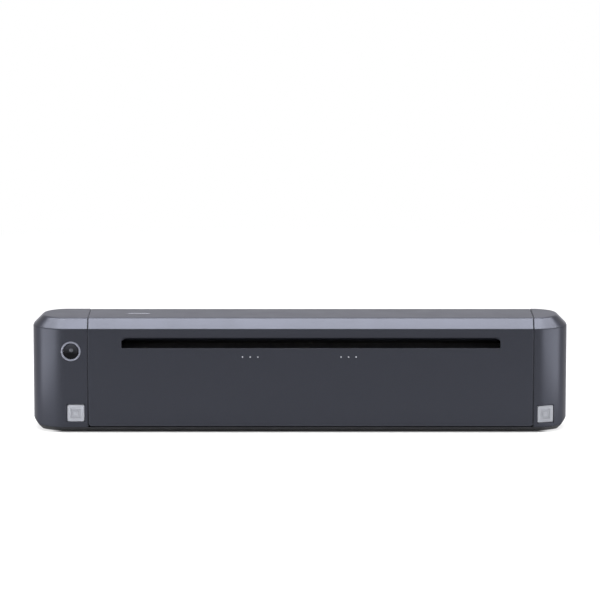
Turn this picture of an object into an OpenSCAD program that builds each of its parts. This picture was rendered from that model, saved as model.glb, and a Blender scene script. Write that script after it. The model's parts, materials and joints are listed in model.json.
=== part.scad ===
// A4 portable thermal printer, standing on its long narrow side.
// The paper slot faces -Y, +X is to the right and +Z is up.
// Origin: centre of the footprint, on the surface that the feet stand on.
// Millimetres.

/* [Casing] */
// Length of the casing, end to end
body_w = 314; // [310:1:317]
// Depth of the casing, front to back
body_d = 48; // [48:0.5:52]
// Height of the casing above its feet
body_h = 66.5; // [66.5:0.5:70]
// Radius of the four upright corners
corner_r = 20; // [17:0.5:20]
// Leg of the chamfer round the top edge
top_chamfer = 6; // [5:0.5:6.5]
// Leg of the chamfer round the bottom edge
base_chamfer = 2.5; // [2.5:0.1:3]
// Leg of the larger facet along the bottom of each end
end_facet = 6; // [4:0.1:6.2]
// Thickness of the casing walls
wall = 2; // [1.8:0.1:2.2]
// How far the rubber feet stand out
foot_h = 0.7; // [0.5:0.1:1]

/* [Cover] */
// Width of the left end cap, up to its seam with the cover
cap_left_w = 32.9; // [32:0.1:34]
// Width of the right end cap, up to its seam with the cover
cap_right_w = 20.4; // [20.2:0.1:21]
// Gap between the cover and each end cap
seam_gap = 0.5; // [0.5:0.1:1]
// Radius of the hinge barrel along the cover's rear edge
barrel_r = 5.2; // [5:0.1:5.2]
// Radius of the two hinge pins
hinge_pin_r = 1.5; // [1.2:0.1:1.8]
// Length of the status light in the top of the cover
status_len = 13.5; // [8:0.5:20]

/* [Paper path] */
// Clear width of the paper slots, for A4 and Letter sheets
slot_w = 221.4; // [218:0.2:222]
// Height of the lower edge of the paper slots
slot_z = 49.9; // [49.5:0.1:50]
// Clear height of the front paper slot
slot_h = 4.3; // [4.1:0.1:4.5]
// Width of the widest paper
paper_w = 216; // [210:1:216]
// Radius of the rubber platen roller
platen_r = 6; // [5.8:0.1:6]
// Radius of the platen shaft
shaft_r = 2; // [1.6:0.1:2]

/* [Gear train] */
// Size of the gear teeth, pitch diameter over tooth count
gear_module = 0.7; // [0.68:0.01:0.72]
// Teeth on the motor pinion
motor_teeth = 14; // [14:1:15]
// Teeth on the large wheel of the idler
idler_big_teeth = 32; // [31:1:32]
// Teeth on the small wheel of the idler
idler_small_teeth = 18; // [18:1:19]
// Teeth on the platen gear
platen_teeth = 24; // [23:1:24]
// Arc taken off each tooth so that the gears run freely
backlash = 0.12; // [0.08:0.01:0.16]

/* [Controls] */
// Radius of the dark power button
power_r = 4.6; // [4.2:0.1:4.8]
// Outer radius of the ring round the power button
power_ring_r = 5.8; // [5.6:0.1:6]
// Side of the two square keys
key_size = 10; // [9:0.1:10.2]
// How far the power button travels
power_travel = 0.8; // [0.4:0.1:1]
// How far the square keys travel
key_travel = 0.5; // [0.3:0.1:0.5]

/* [Hidden] */
$fn = 64;
eps = 0.01;
run_gap = 0.05;

// Casing planes
half_w = body_w / 2;
half_d = body_d / 2;
floor_z = foot_h;
top_z = floor_z + body_h;
tray_top = floor_z + base_chamfer;
corner_x = half_w - corner_r;
corner_y = half_d - corner_r;
inner_y = half_d - wall;
inner_top = top_z - wall;

// Seams and the cover between them
seam_l = -half_w + cap_left_w;
seam_r = half_w - cap_right_w;
cap_l_edge = seam_l - seam_gap / 2;
cap_r_edge = seam_r + seam_gap / 2;
cover_l = seam_l + seam_gap / 2;
cover_r = seam_r - seam_gap / 2;
cover_low = tray_top + 0.4;
cover_notch = 1.6;
cover_rib = 1.5;
cover_rib_depth = 5;
status_x = -95;
status_y = -1;
status_r = 0.9;

// Hinge along the top rear edge
hinge_y = half_d - 8.2;
hinge_z = top_z - 5.4;
barrel_gap = 0.5;
hinge_bore_depth = 11;
rear_panel_top = top_z - 4.4;

// Paper path
slot_x = 6.4;
slot_l = slot_x - slot_w / 2;
slot_r = slot_x + slot_w / 2;
slot_top = slot_z + slot_h;
slot_flare = 2.2;
flare_taper = 3.5;
inlet_top = slot_z + 5.1;
platen_y = 0;
platen_z = 46;
platen_len = paper_w + 3;
paper_z = platen_z + platen_r;
guide_top = slot_z - 0.3;
guide_t = 1.5;
guide_gap = 7.4;
beam_top = platen_z - platen_r - 0.7;
beam_t = 1.8;
beam_half = 9.5;
tab_half = 2.3;
tab_ys = [-beam_half + tab_half, beam_half - tab_half];
tab_z = beam_top + 3;

// Steel side plates
plate_t = 1.2;
plate_set_in = 1;
plate_l0 = cap_l_edge - plate_set_in - plate_t;
plate_l1 = cap_l_edge - plate_set_in;
plate_r0 = cap_r_edge + plate_set_in;
plate_r1 = cap_r_edge + plate_set_in + plate_t;
plate_inset = wall + 0.3;
plate_notch_y = -16;
seal_depth = 3;
seal_inset = 0.4;
seal_play = 0.1;
plate_notch_z = 32;

// Gear centres, each a (y, z) pair, in mesh at rest
platen_pitch = gear_module * platen_teeth / 2;
idler_small_pitch = gear_module * idler_small_teeth / 2;
idler_big_pitch = gear_module * idler_big_teeth / 2;
motor_pitch = gear_module * motor_teeth / 2;
idler_y = 5;
idler_z = platen_z - sqrt(pow(platen_pitch + idler_small_pitch, 2) - pow(idler_y - platen_y, 2));
motor_y = -4;
motor_z = idler_z - sqrt(pow(idler_big_pitch + motor_pitch, 2) - pow(idler_y - motor_y, 2));
gear_plane_1 = plate_r1 + 1;
gear_t1 = 2;
gear_plane_2 = gear_plane_1 + gear_t1 + 0.6;
gear_t2 = 2.5;
to_platen = atan2(platen_z - idler_z, platen_y - idler_y);
to_motor = atan2(motor_z - idler_z, motor_y - idler_y);

// Shafts, bushes and the motor
bush_r = 3.4;
bush_flange_r = 4.6;
bush_side = 0.8;
idler_post_r = 1.5;
motor_shaft_r = 1;
motor_r = 12.5;
motor_len = 16;
motor_flange_t = 0.8;
motor_ear = 15.2;

// Print head, hung on two posts under the cover
head_gap = 0.12;
head_y0 = -4;
head_y1 = 11;
head_t = 1;
sink_t = 3.3;
bracket_t = 1;
head_z = paper_z + head_gap;
sink_z = head_z + head_t;
bracket_z = sink_z + sink_t;
bracket_top = bracket_z + bracket_t;
head_side = 3;
post_r = 1.5;
post_y = 5;
post_xs = [slot_x - 86, slot_x + 86];
post_low = bracket_z - 1;
clip_r = 2.8;
clip_t = 0.5;
head_lift = 0.8;

// Controls
power_x = seam_l - 9.9;
power_z = 48.1;
left_board_y = -12.6;
power_switch_t = 3.4;
power_stem_end = left_board_y - 2.4;
ring_rim = 0.8;
key_z = 11.5;
key_l_x = seam_l - 7.2;
key_r_x = seam_r + 7.5;
key_r_drop = 0.8;
key_r_turn = asin((key_r_x - corner_x) / corner_r);
key_gap = 0.15;
key_face_l = 0.2;
key_face_r = 0.7;
key_t = 2.1;
key_stem_r = 1.4;
flange_far = 6;
key_flange_y = 2.4;
key_switch_y = key_flange_y + 0.7 + key_travel + 0.1;
key_board_far = corner_r - key_switch_y - 2.2;
switch_w = 6;
key_board_t = 1.2;

// Battery, board and connectors
cell_r = 9.1;
cell_len = 65;
cell_y = -10.4;
cell_z = tray_top + 1.4 + cell_r;
cell_xs = [-105, -39];
board_y = 15.4;
board_t = 1.6;
board_l = -118;
board_r = 84;
board_z0 = 6;
board_z1 = 36;
board_hole_xs = [board_l + 6, board_r - 6];
board_hole_zs = [board_z0 + 4, board_z1 - 4];
usb_x = -98;
usb_z = 13;
usb_w = 8.9;
usb_h = 3.2;

// Paper flag
flag_x = slot_x;
flag_y = 17.6;
flag_z = 44;
flag_t = 1.4;
flag_tail = 5;
flag_pin_r = 1;

// Magnets that hold the cover shut
magnet_xs = [cover_l + 8, cover_r - 26];
magnet_z = 10;
magnet_size = 5;
keeper_t = 0.8;

// Fastenings and feet
screw_r = 1.25;
screw_head_r = 2.3;
foot_xs = [-100, 100];
foot_ys = [-14, 14];
cap_boss_xs = [-half_w + 11, half_w - 9];
panel_boss_xs = [cap_l_edge + 3.2, 118];
panel_boss_y = inner_y - 3.4;
boss_r = 3;
boss_top = 13;

// Colours, as seen on the object
shell_grey = [0.24, 0.25, 0.29];
tray_black = [0.13, 0.13, 0.15];
inner_black = [0.08, 0.08, 0.09];
key_silver = [0.72, 0.72, 0.76];
ring_grey = [0.36, 0.36, 0.40];
steel = [0.68, 0.69, 0.71];
brass = [0.78, 0.62, 0.30];
rubber_black = [0.06, 0.06, 0.06];
board_green = [0.07, 0.28, 0.16];
cell_blue = [0.16, 0.33, 0.60];
gear_white = [0.88, 0.87, 0.82];
ceramic_white = [0.86, 0.84, 0.78];
light_white = [0.62, 0.64, 0.68];

// ---------------------------------------------------------------- basic shapes

module block(x0, x1, y0, y1, z0, z1) {
  translate([x0, y0, z0]) cube([x1 - x0, y1 - y0, z1 - z0]);
}

// A rod along X, Y or Z between two planes
module x_rod(r, x0, x1, y, z) {
  translate([x0, y, z]) rotate([0, 90, 0]) cylinder(h = x1 - x0, r = r);
}

module y_rod(r, y0, y1, x, z) {
  translate([x, y0, z]) rotate([-90, 0, 0]) cylinder(h = y1 - y0, r = r);
}

module z_rod(r, z0, z1, x, y) {
  translate([x, y, z0]) cylinder(h = z1 - z0, r = r);
}

// A section drawn in (y, z), run along X
module x_bar(points, x0, x1) {
  translate([x0, 0, 0]) rotate([90, 0, 90]) linear_extrude(x1 - x0) polygon(points);
}

// A section drawn in (x, z), run along Y
module y_bar(points, y0, y1) {
  translate([0, y1, 0]) rotate([90, 0, 0]) linear_extrude(y1 - y0) polygon(points);
}

// ---------------------------------------------------------------- casing form

// Section of the casing, chamfered at its top and bottom edges
function casing_section(half, low, high, low_cut, high_cut) = [
  [-half + low_cut, low], [half - low_cut, low],
  [half, low + low_cut], [half, high - high_cut],
  [half - high_cut, high], [-half + high_cut, high],
  [-half, high - high_cut], [-half, low + low_cut]
];

// Half of that section, for turning about an upright corner axis
function corner_section(r, low, high, low_cut, high_cut) = [
  [0, low], [r - low_cut, low], [r, low + low_cut],
  [r, high - high_cut], [r - high_cut, high], [0, high]
];

// The 45 degree facet taken off the bottom of the right end
function facet_section(leg) = [
  [half_w - leg - 1, floor_z - 1],
  [half_w + 1, floor_z - 1],
  [half_w + 1, floor_z + leg + 1]
];

// The whole outer form, moved inwards by inset
module casing(inset = 0) {
  shrink = (2 - sqrt(2)) * inset;
  low = floor_z + inset;
  high = top_z - inset;
  low_cut = base_chamfer - shrink;
  high_cut = top_chamfer - shrink;
  difference() {
    union() {
      x_bar(casing_section(half_d - inset, low, high, low_cut, high_cut), -corner_x, corner_x);
      y_bar(casing_section(half_w - inset, low, high, low_cut, high_cut), -corner_y, corner_y);
      for (x = [-corner_x, corner_x], y = [-corner_y, corner_y])
        translate([x, y, 0])
          rotate_extrude() polygon(corner_section(corner_r - inset, low, high, low_cut, high_cut));
    }
    for (side = [0, 1])
      mirror([side, 0, 0])
        y_bar(facet_section(end_facet + sqrt(2) * inset), -half_d - 1, half_d + 1);
  }
}

// The straight run of the casing's skin, with no upright corners
module straight_shell(x0, x1) {
  shrink = (2 - sqrt(2)) * wall;
  difference() {
    x_bar(casing_section(half_d, floor_z, top_z, base_chamfer, top_chamfer), x0, x1);
    x_bar(casing_section(inner_y, floor_z + wall, inner_top,
                         base_chamfer - shrink, top_chamfer - shrink), x0 - 1, x1 + 1);
  }
}

module casing_shell() {
  difference() {
    casing(0);
    casing(wall);
  }
}

// ---------------------------------------------------------------- small parts

// A round-headed screw whose thread points along +Z from its head
module screw(length, r = screw_r, head_r = screw_head_r, head_h = 1.2) {
  cylinder(h = length, r = r);
  translate([0, 0, -head_h]) difference() {
    cylinder(h = head_h, r = head_r);
    translate([0, 0, -eps]) for (turn = [0, 90])
      rotate([0, 0, turn]) translate([-1.2, -0.25, 0]) cube([2.4, 0.5, 0.6]);
  }
}

// Points of one wire ring of a coil spring, at a given turn angle
function coil_ring(r, wire, rise, turn, sides) = [
  for (k = [0:sides - 1])
    let (a = 360 * k / sides, out = r + wire * cos(a))
      [out * cos(turn), out * sin(turn), rise + wire * sin(a)]
];

// A coil spring along Z, resting flat within its height
module coil_spring(r, wire, height, turns) {
  sides = 8;
  steps = turns * 16;
  rings = [
    for (i = [0:steps])
      coil_ring(r, wire, wire + (height - 2 * wire) * i / steps, 360 * turns * i / steps, sides)
  ];
  points = [for (ring = rings) for (p = ring) p];
  last = steps * sides;
  walls = [
    for (i = [0:steps - 1], k = [0:sides - 1])
      let (n = (k + 1) % sides)
        [i * sides + k, (i + 1) * sides + k, (i + 1) * sides + n, i * sides + n]
  ];
  start_cap = [for (k = [0:sides - 1]) k];
  end_cap = [for (k = [sides - 1:-1:0]) last + k];
  polyhedron(points = points, faces = concat([start_cap], walls, [end_cap]), convexity = 8);
}

// Involute gear tooth, as polar (radius, half angle) pairs from root to tip
function involute(t) = (t - atan(t) * PI / 180) * 180 / PI;

function flank(teeth, steps = 4) =
  let (
    pitch = gear_module * teeth / 2,
    base = pitch * cos(20),
    tip = pitch + 0.9 * gear_module,
    root = pitch - 1.2 * gear_module,
    thickness = 90 / teeth - backlash / 2 / pitch * 180 / PI,
    at_pitch = involute(tan(20)),
    t_max = sqrt(pow(tip / base, 2) - 1)
  )
  concat(
    [[root, thickness + at_pitch]],
    [for (i = [root > base ? 1 : 0:steps])
      let (t = t_max * i / steps)
        [base * sqrt(1 + t * t), thickness + at_pitch - involute(t)]]
  );

function polar(r, a) = [r * cos(a), r * sin(a)];

// Outline of a gear with a tooth centred on the given angle
function gear_outline(teeth, phase) =
  let (side = flank(teeth), n = len(side) - 1)
    [for (i = [0:teeth - 1])
      let (centre = phase + 360 * i / teeth)
        for (p = concat(
          [for (q = side) polar(q[0], centre - q[1])],
          [for (k = [n:-1:0]) polar(side[k][0], centre + side[k][1])]
        )) p];

// Phase of a gear that meshes with a driver whose tooth points along +Y
function meshed_phase(direction, driver_teeth, teeth) =
  direction + 180 - 360 / teeth * (0.5 - direction * driver_teeth / 360);

module gear(teeth, phase, bore, x0, thickness, y, z) {
  translate([x0, y, z]) rotate([90, 0, 90]) linear_extrude(thickness) difference() {
    polygon(gear_outline(teeth, phase));
    circle(r = bore);
  }
}

// ---------------------------------------------------------------- hinged cover

// Rib that closes each end of the cover, along the inside of its skin
function cover_rib_section() = [
  [-inner_y - eps, cover_low],
  [-inner_y + cover_rib_depth, cover_low],
  [-inner_y + cover_rib_depth, inner_top - top_chamfer - cover_rib_depth],
  [-inner_y + top_chamfer + cover_rib_depth - 2, inner_top - cover_rib_depth],
  [hinge_y - 2, inner_top - cover_rib_depth],
  [hinge_y - 2, inner_top + eps],
  [-inner_y + top_chamfer, inner_top + eps],
  [-inner_y - eps, inner_top - top_chamfer]
];

module cover_skin() {
  intersection() {
    straight_shell(cover_l, cover_r);
    x_bar([
      [-half_d - 1, cover_low], [-half_d + 12, cover_low], [-half_d + 12, top_z - 12],
      [hinge_y, top_z - 12], [hinge_y, top_z + 1], [-half_d - 1, top_z + 1]
    ], cover_l - 1, cover_r + 1);
  }
}

module cover_ribs() {
  for (x = [cover_l, cover_r - cover_rib])
    intersection() {
      casing(wall - eps);
      x_bar(cover_rib_section(), x, x + cover_rib);
    }
}

// Front slot, flared upwards to the outside, the flare narrowing towards its top
module front_slot_cut() {
  flare_top = slot_top + slot_flare;
  flare_low = slot_top - 0.5;
  block(slot_l, slot_r, -half_d - 1, -inner_y + 1, slot_z, slot_top);
  intersection() {
    x_bar([
      [-half_d - 1, flare_low], [-inner_y, flare_low], [-inner_y, slot_top],
      [-half_d - 0.2, flare_top], [-half_d - 1, flare_top]
    ], slot_l, slot_r);
    y_bar([
      [slot_l, flare_low], [slot_r, flare_low], [slot_r, slot_top],
      [slot_r - flare_taper, flare_top + eps], [slot_l + flare_taper, flare_top + eps],
      [slot_l, slot_top]
    ], -half_d - 2, -inner_y + 1);
  }
}

module front_cover() {
  color(shell_grey) difference() {
    union() {
      cover_skin();
      cover_ribs();
      x_rod(barrel_r, cover_l, cover_r, hinge_y, hinge_z);
      for (x = post_xs)
        z_rod(post_r, post_low, inner_top + eps, x, post_y);
    }
    front_slot_cut();
    status_form(inner_top - 1, top_z + 1);
    x_rod(hinge_pin_r + run_gap, cover_l - 1, cover_l + hinge_bore_depth, hinge_y, hinge_z);
    x_rod(hinge_pin_r + run_gap, cover_r - hinge_bore_depth, cover_r + 1, hinge_y, hinge_z);
    for (x = [cover_l, cover_r])
      translate([x, 0, cover_low]) rotate([0, 45, 0])
        cube([cover_notch, body_d + 2, cover_notch], center = true);
  }
}

// Light bar with round ends, let into the top of the cover
module status_form(z0, z1) {
  half = status_len / 2 - status_r;
  block(status_x - half, status_x + half, status_y - status_r, status_y + status_r, z0, z1);
  for (x = [status_x - half, status_x + half])
    z_rod(status_r, z0, z1, x, status_y);
}

module status_light() {
  color(light_white) status_form(inner_top - 0.6, top_z - 0.1);
}

module tear_bar() {
  teeth = 54;
  pitch = slot_w / teeth;
  low = slot_top + 0.4;
  color(steel) y_bar(concat(
    [[slot_r, low + 4], [slot_l, low + 4]],
    [for (i = [0:teeth - 1], half = [0, 1])
      [slot_l + pitch * (i + half / 2), low + 0.8 * half]],
    [[slot_r, low]]
  ), -inner_y, -inner_y + 0.5);
}

module cover_keepers() {
  color(steel) for (x = magnet_xs)
    y_rod(magnet_size / 2 + 0.5, -inner_y, -inner_y + keeper_t, x, magnet_z);
}

module head_clips() {
  color(steel) for (x = post_xs) difference() {
    z_rod(clip_r, bracket_z - run_gap - clip_t, bracket_z - run_gap, x, post_y);
    z_rod(post_r, bracket_z - 2, bracket_z + 1, x, post_y);
  }
}

// ---------------------------------------------------------------- print head

module print_head() {
  color(ceramic_white) union() {
    block(slot_l, slot_r, head_y0, head_y1, head_z, sink_z);
  }
}

module heat_sink() {
  fin_pitch = 12;
  color(steel) difference() {
    block(slot_l - head_side, slot_r + head_side, head_y0, head_y1, sink_z, bracket_z);
    for (x = post_xs)
      z_rod(clip_r + 0.3, post_low - head_lift - 0.5, bracket_z + 1, x, post_y);
    for (i = [-6:6])
      block(slot_x + i * fin_pitch - 2, slot_x + i * fin_pitch + 2, head_y0 - 1, head_y0 + 3,
            sink_z + 1, bracket_z + 1);
  }
}

module head_bracket() {
  color(steel) difference() {
    union() {
      block(slot_l - head_side, slot_r + head_side, head_y0 + 4, head_y1, bracket_z, bracket_top);
      block(slot_l - head_side, slot_r + head_side, head_y1 - 2, head_y1 - 1,
            bracket_top - eps, bracket_top + 2);
    }
    for (x = post_xs)
      z_rod(post_r + run_gap, bracket_z - 1, bracket_top + 1, x, post_y);
  }
}

module head_spring(x) {
  color(steel) translate([x, post_y, bracket_top])
    coil_spring(2.3, 0.3, inner_top - bracket_top, 6);
}

module head_spring_left() {
  head_spring(post_xs[0]);
}

module head_spring_right() {
  head_spring(post_xs[1]);
}

// ---------------------------------------------------------------- casing parts

module base_tray() {
  color(tray_black) difference() {
    intersection() {
      casing(0);
      block(-half_w - 1, half_w + 1, -half_d - 1, half_d + 1, floor_z - 1, tray_top);
    }
    for (x = foot_xs, y = foot_ys)
      foot_form(x, y, floor_z - 1, floor_z + 0.5);
    for (x = cap_boss_xs) tray_screw_hole(x, 0);
    for (x = panel_boss_xs) tray_screw_hole(x, panel_boss_y);
  }
}

module tray_screw_hole(x, y) {
  z_rod(screw_r + 0.15, floor_z - 1, tray_top + 1, x, y);
  z_rod(screw_head_r + 0.2, floor_z - 1, floor_z + 1.3, x, y);
}

module screw_boss(x, y) {
  difference() {
    z_rod(boss_r, tray_top, boss_top, x, y);
    z_rod(screw_r, tray_top - 1, boss_top - 1.5, x, y);
  }
}

module rear_panel() {
  color(shell_grey) difference() {
    union() {
      intersection() {
        straight_shell(cap_l_edge, cap_r_edge);
        block(cap_l_edge - 1, cap_r_edge + 1, hinge_y, half_d + 1, tray_top, rear_panel_top);
      }
      for (x = panel_boss_xs) {
        screw_boss(x, panel_boss_y);
        block(x - 1, x + 1, panel_boss_y + boss_r - 0.5, inner_y + eps, tray_top, boss_top);
      }
      for (x = board_hole_xs, z = board_hole_zs)
        y_rod(2.4, board_y + board_t, inner_y + eps, x, z);
    }
    x_rod(barrel_r + barrel_gap, cap_l_edge - 1, cap_r_edge + 1, hinge_y, hinge_z);
    x_bar([
      [inner_y - 1, slot_z], [half_d + 1, slot_z - 1.2],
      [half_d + 1, inlet_top + 1.2], [inner_y - 1, inlet_top]
    ], slot_l, slot_r);
    for (x = board_hole_xs, z = board_hole_zs)
      y_rod(screw_r, board_y, inner_y - 1, x, z);
    usb_form(inner_y - 1, half_d + 1, 0.2);
  }
}

module usb_form(y0, y1, grow) {
  h = usb_h / 2 + grow;
  w = usb_w / 2 + grow;
  block(usb_x - w + h, usb_x + w - h, y0, y1, usb_z - h, usb_z + h);
  for (x = [usb_x - w + h, usb_x + w - h])
    y_rod(h, y0, y1, x, usb_z);
}

// One end of the casing shell, cut at x0 and x1
module cap_shell(x0, x1) {
  intersection() {
    casing_shell();
    block(x0, x1, -half_d - 1, half_d + 1, tray_top, top_z + 1);
  }
}

module end_cap_left() {
  color(shell_grey) difference() {
    union() {
      cap_shell(-half_w - 1, cap_l_edge);
      screw_boss(cap_boss_xs[0], 0);
      block(-half_w + wall - eps, cap_boss_xs[0] - boss_r + 0.5, -1, 1, 9, boss_top);
      for (z = [23, 38])
        y_rod(2.2, -inner_y - eps, left_board_y, power_x, z);
    }
    y_rod(power_ring_r, -half_d - 1, -inner_y + 1, power_x, power_z);
    y_rod(power_ring_r + ring_rim + run_gap, -inner_y, -inner_y + 3, power_x, power_z);
    key_window(key_l_x, 0);
  }
}

module end_cap_right() {
  color(shell_grey) difference() {
    union() {
      cap_shell(cap_r_edge, half_w + 1);
      screw_boss(cap_boss_xs[1], 0);
      block(cap_boss_xs[1] + boss_r - 0.5, half_w - wall + eps, -1, 1, 9, boss_top);
      on_right_corner() y_rod(2, -corner_r + wall - 0.4, -key_board_far, 2.5, 27);
    }
    on_right_corner() key_window(0, corner_y);
  }
}

// ---------------------------------------------------------------- chassis

module side_plate(x0, cuts) {
  color(steel) difference() {
    intersection() {
      casing(plate_inset);
      block(x0, x0 + plate_t, -half_d, half_d, tray_top, top_z);
    }
    block(x0 - 1, x0 + plate_t + 1, -half_d, plate_notch_y, tray_top - 1, plate_notch_z);
    x_rod(hinge_pin_r, x0 - 1, x0 + plate_t + 1, hinge_y, hinge_z);
    x_rod(bush_r, x0 - 1, x0 + plate_t + 1, platen_y, platen_z);
    for (y = tab_ys)
      x_rod(screw_r, x0 - 1, x0 + plate_t + 1, y, tab_z);
    if (cuts == "motor") {
      x_rod(motor_shaft_r + 3, x0 - 1, x0 + plate_t + 1, motor_y, motor_z);
      x_rod(idler_post_r, x0 - 1, x0 + plate_t + 1, idler_y, idler_z);
    }
    if (cuts == "wires")
      x_rod(6, x0 - 1, x0 + plate_t + 1, 2, 24);
  }
}

module side_plate_left() {
  side_plate(plate_l0, "wires");
}

module side_plate_right() {
  side_plate(plate_r0, "motor");
}

// Flat beam under the roller, with two turned-up tabs at each end
module cross_beam() {
  color(steel) difference() {
    union() {
      block(plate_l1, plate_r0, -beam_half, beam_half, beam_top - beam_t, beam_top);
      for (x = [plate_l1, plate_r0 - beam_t], y = tab_ys)
        block(x, x + beam_t, y - tab_half, y + tab_half, beam_top - eps, tab_z + tab_half);
    }
    for (x = [plate_l1 - 1, plate_r0 - beam_t - 1], y = tab_ys)
      x_rod(screw_r, x, x + beam_t + 2, y, tab_z);
  }
}

module plate_screws() {
  length = plate_t + beam_t;
  head_h = 0.8;
  color(steel) for (y = tab_ys) {
    translate([plate_l0, y, tab_z]) rotate([0, 90, 0]) screw(length, head_h = head_h);
    translate([plate_r1, y, tab_z]) rotate([0, -90, 0]) screw(length, head_h = head_h);
  }
}

// Section of a seam seal: over the top and down the front, open at the bottom and the back
module seal_section(x0, x1, inset, low) {
  deep = plate_inset + seal_depth;
  shrink = (2 - sqrt(2)) * inset;
  cut = top_chamfer - (2 - sqrt(2)) * deep;
  y_in = half_d - deep;
  z_in = top_z - deep;
  difference() {
    intersection() {
      x_bar(casing_section(half_d - inset, floor_z + inset, top_z - inset,
                           base_chamfer - shrink, top_chamfer - shrink), x0, x1);
      union() {
        block(x0 - 1, x1 + 1, -half_d, 0, low, top_z);
        block(x0 - 1, x1 + 1, -eps, half_d, rear_panel_top + seal_play, top_z);
      }
    }
    x_bar([
      [-y_in, low - 1], [y_in, low - 1], [y_in, z_in - cut],
      [y_in - cut, z_in], [-y_in + cut, z_in], [-y_in, z_in - cut]
    ], x0 - 1, x1 + 1);
    x_rod(hinge_pin_r + 0.3, x0 - 1, x1 + 1, hinge_y, hinge_z);
  }
}

// Rubber seals on the side plates, each with a lip that fills the gap beside the cover
module seam_seals() {
  lip_low = tray_top + seal_play;
  foot_low = plate_notch_z + 2;
  color(rubber_black) {
    union() {
      seal_section(plate_l1, cap_l_edge + eps, plate_inset, foot_low);
      seal_section(cap_l_edge, cover_l - seal_play, seal_inset, lip_low);
    }
    union() {
      seal_section(cap_r_edge - eps, plate_r0, plate_inset, foot_low);
      seal_section(cover_r + seal_play, cap_r_edge, seal_inset, lip_low);
    }
  }
}

module hinge_pin_left() {
  color(steel) union() {
    x_rod(hinge_pin_r, plate_l0 - 1, cover_l + hinge_bore_depth - 1, hinge_y, hinge_z);
    x_rod(2.6, plate_l0 - 1, plate_l0, hinge_y, hinge_z);
  }
}

module hinge_pin_right() {
  color(steel) union() {
    x_rod(hinge_pin_r, cover_r - hinge_bore_depth + 1, plate_r1 + 1, hinge_y, hinge_z);
    x_rod(2.6, plate_r1, plate_r1 + 1, hinge_y, hinge_z);
  }
}

// ---------------------------------------------------------------- paper guides

// Front guide: a shelf from the slot to the roller, on a leg from the beam
module front_guide() {
  color(inner_black) x_bar([
    [-inner_y + 0.9, guide_top - guide_t], [-guide_gap - guide_t, guide_top - guide_t - 1],
    [-guide_gap - guide_t, beam_top], [-guide_gap, beam_top], [-guide_gap, guide_top - guide_t],
    [-6.2, guide_top], [-6.6, guide_top + 0.9], [-inner_y + 0.9, guide_top]
  ], slot_l - 2, slot_r + 2);
}

module rear_guide() {
  color(inner_black) difference() {
    union() {
      x_bar([
        [inner_y, guide_top - guide_t], [guide_gap + guide_t, guide_top - guide_t - 1],
        [guide_gap + guide_t, beam_top], [guide_gap, beam_top], [guide_gap, guide_top - guide_t],
        [6.2, guide_top], [6.6, guide_top + 0.9], [inner_y, guide_top]
      ], slot_l - 2, slot_r + 2);
      for (x = [flag_x - 4, flag_x + 2.5])
        block(x, x + 1.5, flag_y - 2.2, flag_y + 2.2, flag_z - 2.2, guide_top - guide_t + 0.5);
    }
    block(flag_x - 1.6, flag_x + 1.6, flag_y - 8, inner_y + 1, guide_top - 4, guide_top + 2);
    x_rod(flag_pin_r, flag_x - 6, flag_x + 6, flag_y, flag_z);
  }
}

module flag_pin() {
  color(steel) x_rod(flag_pin_r, flag_x - 4.6, flag_x + 4.6, flag_y, flag_z);
}

// Lever that the paper pushes over, with a tail that stops a light beam
module paper_flag() {
  color(inner_black) difference() {
    union() {
      x_bar([
        [flag_y - 1, flag_z - flag_tail], [flag_y + 1, flag_z - flag_tail],
        [flag_y + 1.2, flag_z], [flag_y + 0.5, guide_top + 4],
        [flag_y - 0.5, guide_top + 4], [flag_y - 1.2, flag_z]
      ], flag_x - flag_t / 2, flag_x + flag_t / 2);
      x_rod(2, flag_x - 2.2, flag_x + 2.2, flag_y, flag_z);
    }
    x_rod(flag_pin_r + run_gap, flag_x - 3, flag_x + 3, flag_y, flag_z);
  }
}

module paper_sensor() {
  color(inner_black) difference() {
    block(flag_x - 3, flag_x + 3, board_y - 1, board_y + board_t + 3, board_z1, board_z1 + 4.5);
    block(flag_x - 1.2, flag_x + 1.2, board_y - 2, board_y + board_t + 4, board_z1 + 1, board_z1 + 5);
  }
}

// ---------------------------------------------------------------- platen and gears

module platen_roller() {
  color(rubber_black) difference() {
    x_rod(platen_r, slot_x - platen_len / 2, slot_x + platen_len / 2, platen_y, platen_z);
    x_rod(shaft_r, slot_l - 2, slot_r + 2, platen_y, platen_z);
  }
}

module platen_shaft() {
  color(steel) x_rod(shaft_r, plate_l0 - 2, gear_plane_2 + gear_t2 + 0.8, platen_y, platen_z);
}

module platen_gear() {
  color(gear_white) union() {
    gear(platen_teeth, meshed_phase(to_platen, idler_small_teeth, platen_teeth), shaft_r,
         gear_plane_2, gear_t2, platen_y, platen_z);
    difference() {
      x_rod(shaft_r + 1.5, gear_plane_2 - 0.5, gear_plane_2 + eps, platen_y, platen_z);
      x_rod(shaft_r, gear_plane_2 - 1, gear_plane_2 + 1, platen_y, platen_z);
    }
  }
}

// Bush in a side plate, with its flange against the face at flange_x
module platen_bush(plate_x, flange_x) {
  color(brass) difference() {
    union() {
      x_rod(bush_r, plate_x - bush_side, plate_x + plate_t + bush_side, platen_y, platen_z);
      x_rod(bush_flange_r, flange_x, flange_x + bush_side, platen_y, platen_z);
    }
    x_rod(shaft_r + run_gap, plate_x - 2, plate_x + plate_t + 2, platen_y, platen_z);
  }
}

module platen_bush_left() {
  platen_bush(plate_l0, plate_l1);
}

module platen_bush_right() {
  platen_bush(plate_r0, plate_r0 - bush_side);
}

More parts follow.
